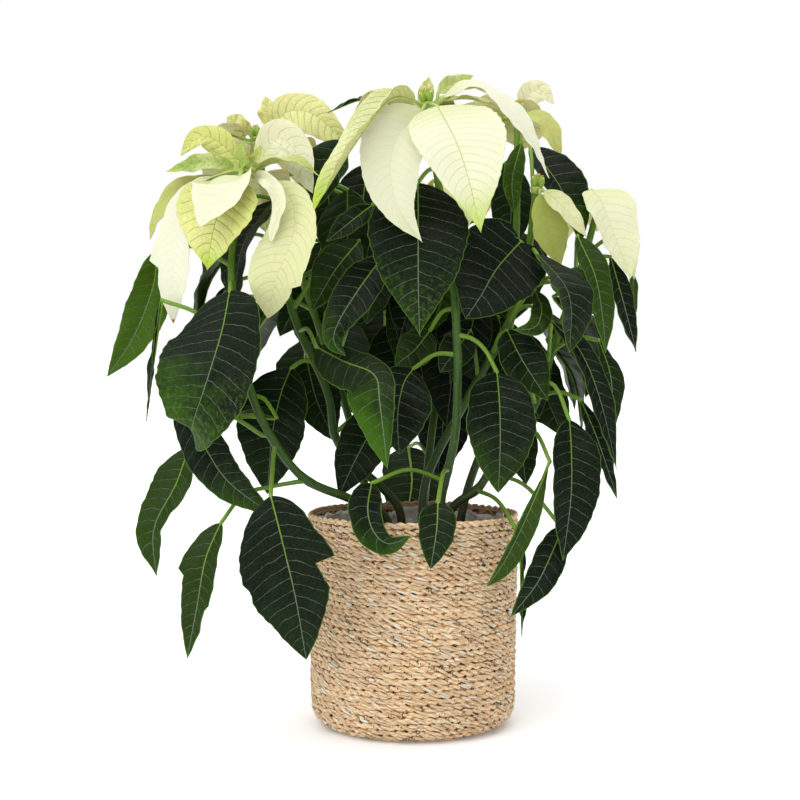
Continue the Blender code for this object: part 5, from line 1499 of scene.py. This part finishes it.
def film_material():
    """Thin whitish film, glossy and slightly clear."""
    g = Graph("film_fine")
    where = g.place()
    cloudy = g.noise(where, 90, 3.0)
    g.set(Base_Color=g.mix(cloudy, (0.86, 0.78, 0.70), (1.0, 0.96, 0.90)), Roughness=0.16)
    g.set(Alpha=g.grade(cloudy, 0.3, 0.7, 0.8, 1.0), Specular_IOR_Level=0.7)
    g.bump(g.noise(where, 260, 4.0), 0.002, 0.7)
    return g.material


def soil_material():
    g = Graph("soil_fine")
    where = g.place()
    grit = g.noise(where, 700, 4.0)
    colour = g.mix(g.noise(where, 220, 4.0), (0.012, 0.008, 0.005), (0.06, 0.038, 0.022))
    colour = g.mix(g.grade(grit, 0.68, 0.74), colour, (0.3, 0.26, 0.2))
    g.set(Base_Color=colour, Roughness=0.95)
    g.bump(grit, 0.0015, 1.0)
    return g.material


def pot_material():
    g = Graph("pot_fine")
    where = g.place()
    scuffs = g.noise(where, 130, 4.0)
    g.set(Base_Color=g.mix(scuffs, (0.018, 0.015, 0.013), (0.045, 0.036, 0.03)))
    g.set(Roughness=g.grade(scuffs, 0.3, 0.7, 0.38, 0.6))
    g.bump(g.noise(where, 900, 2.0), 0.0002, 0.4)
    return g.material


def build_plant():
    placed = settled()
    draws = np.random.default_rng(PLANT_SEED)
    petiole = stalk_material("petiole_fine", (0.09, 0.19, 0.008), (0.15, 0.29, 0.014), (0.22, 0.38, 0.04))
    build_leaves(placed, [leaf_material(), petiole, stem_material()], draws)
    stalk = ((0.30, 0.42, 0.05), (0.48, 0.56, 0.16), (0.5, 0.6, 0.2))
    bract_stalk = stalk_material("bract_stalk_fine", *stalk)
    build_bracts(placed, [bract_material(), bract_stalk], draws)
    cup = plain_fine("cyathium_fine", (0.16, 0.28, 0.02), (0.30, 0.42, 0.05), 0.4, 700)
    gland = plain_fine("gland_fine", (0.75, 0.55, 0.03), (0.85, 0.68, 0.08), 0.3, 900)
    stamen = plain_fine("stamen_fine", (0.45, 0.12, 0.02), (0.7, 0.4, 0.05), 0.5, 1500)
    build_buds([cup, gland, stamen], draws)


def build_container():
    draws = np.random.default_rng(BASKET_SEED)
    build_basket(draws)
    build_liner()
    build_soil(draws)
    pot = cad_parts["nursery_pot"]
    for slot in pot.material_slots:
        slot.material = pot_material()


def soft_sun(name, source, strength):
    """A wide, even light that shines from the direction of source."""
    light = bpy.data.lights.new(name, "SUN")
    light.angle = math.radians(SUN_SPREAD)
    light.energy = strength
    item = new_object(name, light)
    item.rotation_euler = Vector(source).to_track_quat("Z", "Y").to_euler()


def build_studio():
    mesh = bpy.data.meshes.new("floor")
    corners = [(x * FLOOR_REACH, y * FLOOR_REACH, 0) for x, y in ((-1, -1), (1, -1), (1, 1), (-1, 1))]
    mesh.from_pydata(corners, [], [(0, 1, 2, 3)])
    floor = new_object("floor", mesh)
    g = Graph("floor_white")
    g.set(Base_Color=(0.93, 0.93, 0.93), Roughness=0.9, Specular_IOR_Level=0.1)
    g.set(Emission_Color=(1.0, 1.0, 1.0), Emission_Strength=FLOOR_GLOW)
    mesh.materials.append(g.material)
    world = bpy.data.worlds.new("studio")
    bpy.context.scene.world = world
    world.use_nodes = True
    tree = world.node_tree
    background = tree.nodes["Background"]
    seen = tree.nodes.new("ShaderNodeLightPath")
    strength = tree.nodes.new("ShaderNodeMapRange")
    tree.links.new(seen.outputs["Is Camera Ray"], strength.inputs[0])
    strength.inputs[3].default_value = WORLD_LIGHT
    strength.inputs[4].default_value = 1.0
    tree.links.new(strength.outputs[0], background.inputs[1])
    background.inputs[0].default_value = (1, 1, 1, 1)
    soft_sun("key", KEY_SOURCE, KEY_STRENGTH)
    soft_sun("back", BACK_SOURCE, BACK_STRENGTH)
    bpy.context.scene.view_settings.view_transform = "Standard"


def build_camera():
    camera = new_object("camera", bpy.data.cameras.new("camera"))
    camera.data.lens = CAMERA_LENS
    camera.data.sensor_width = 36
    camera.location = tuple(value * MM for value in CAMERA_PLACE)
    camera.rotation_euler = (math.radians(90 - CAMERA_DIP), 0, 0)
    bpy.context.scene.camera = camera


build_camera()
build_studio()
build_container()
build_plant()
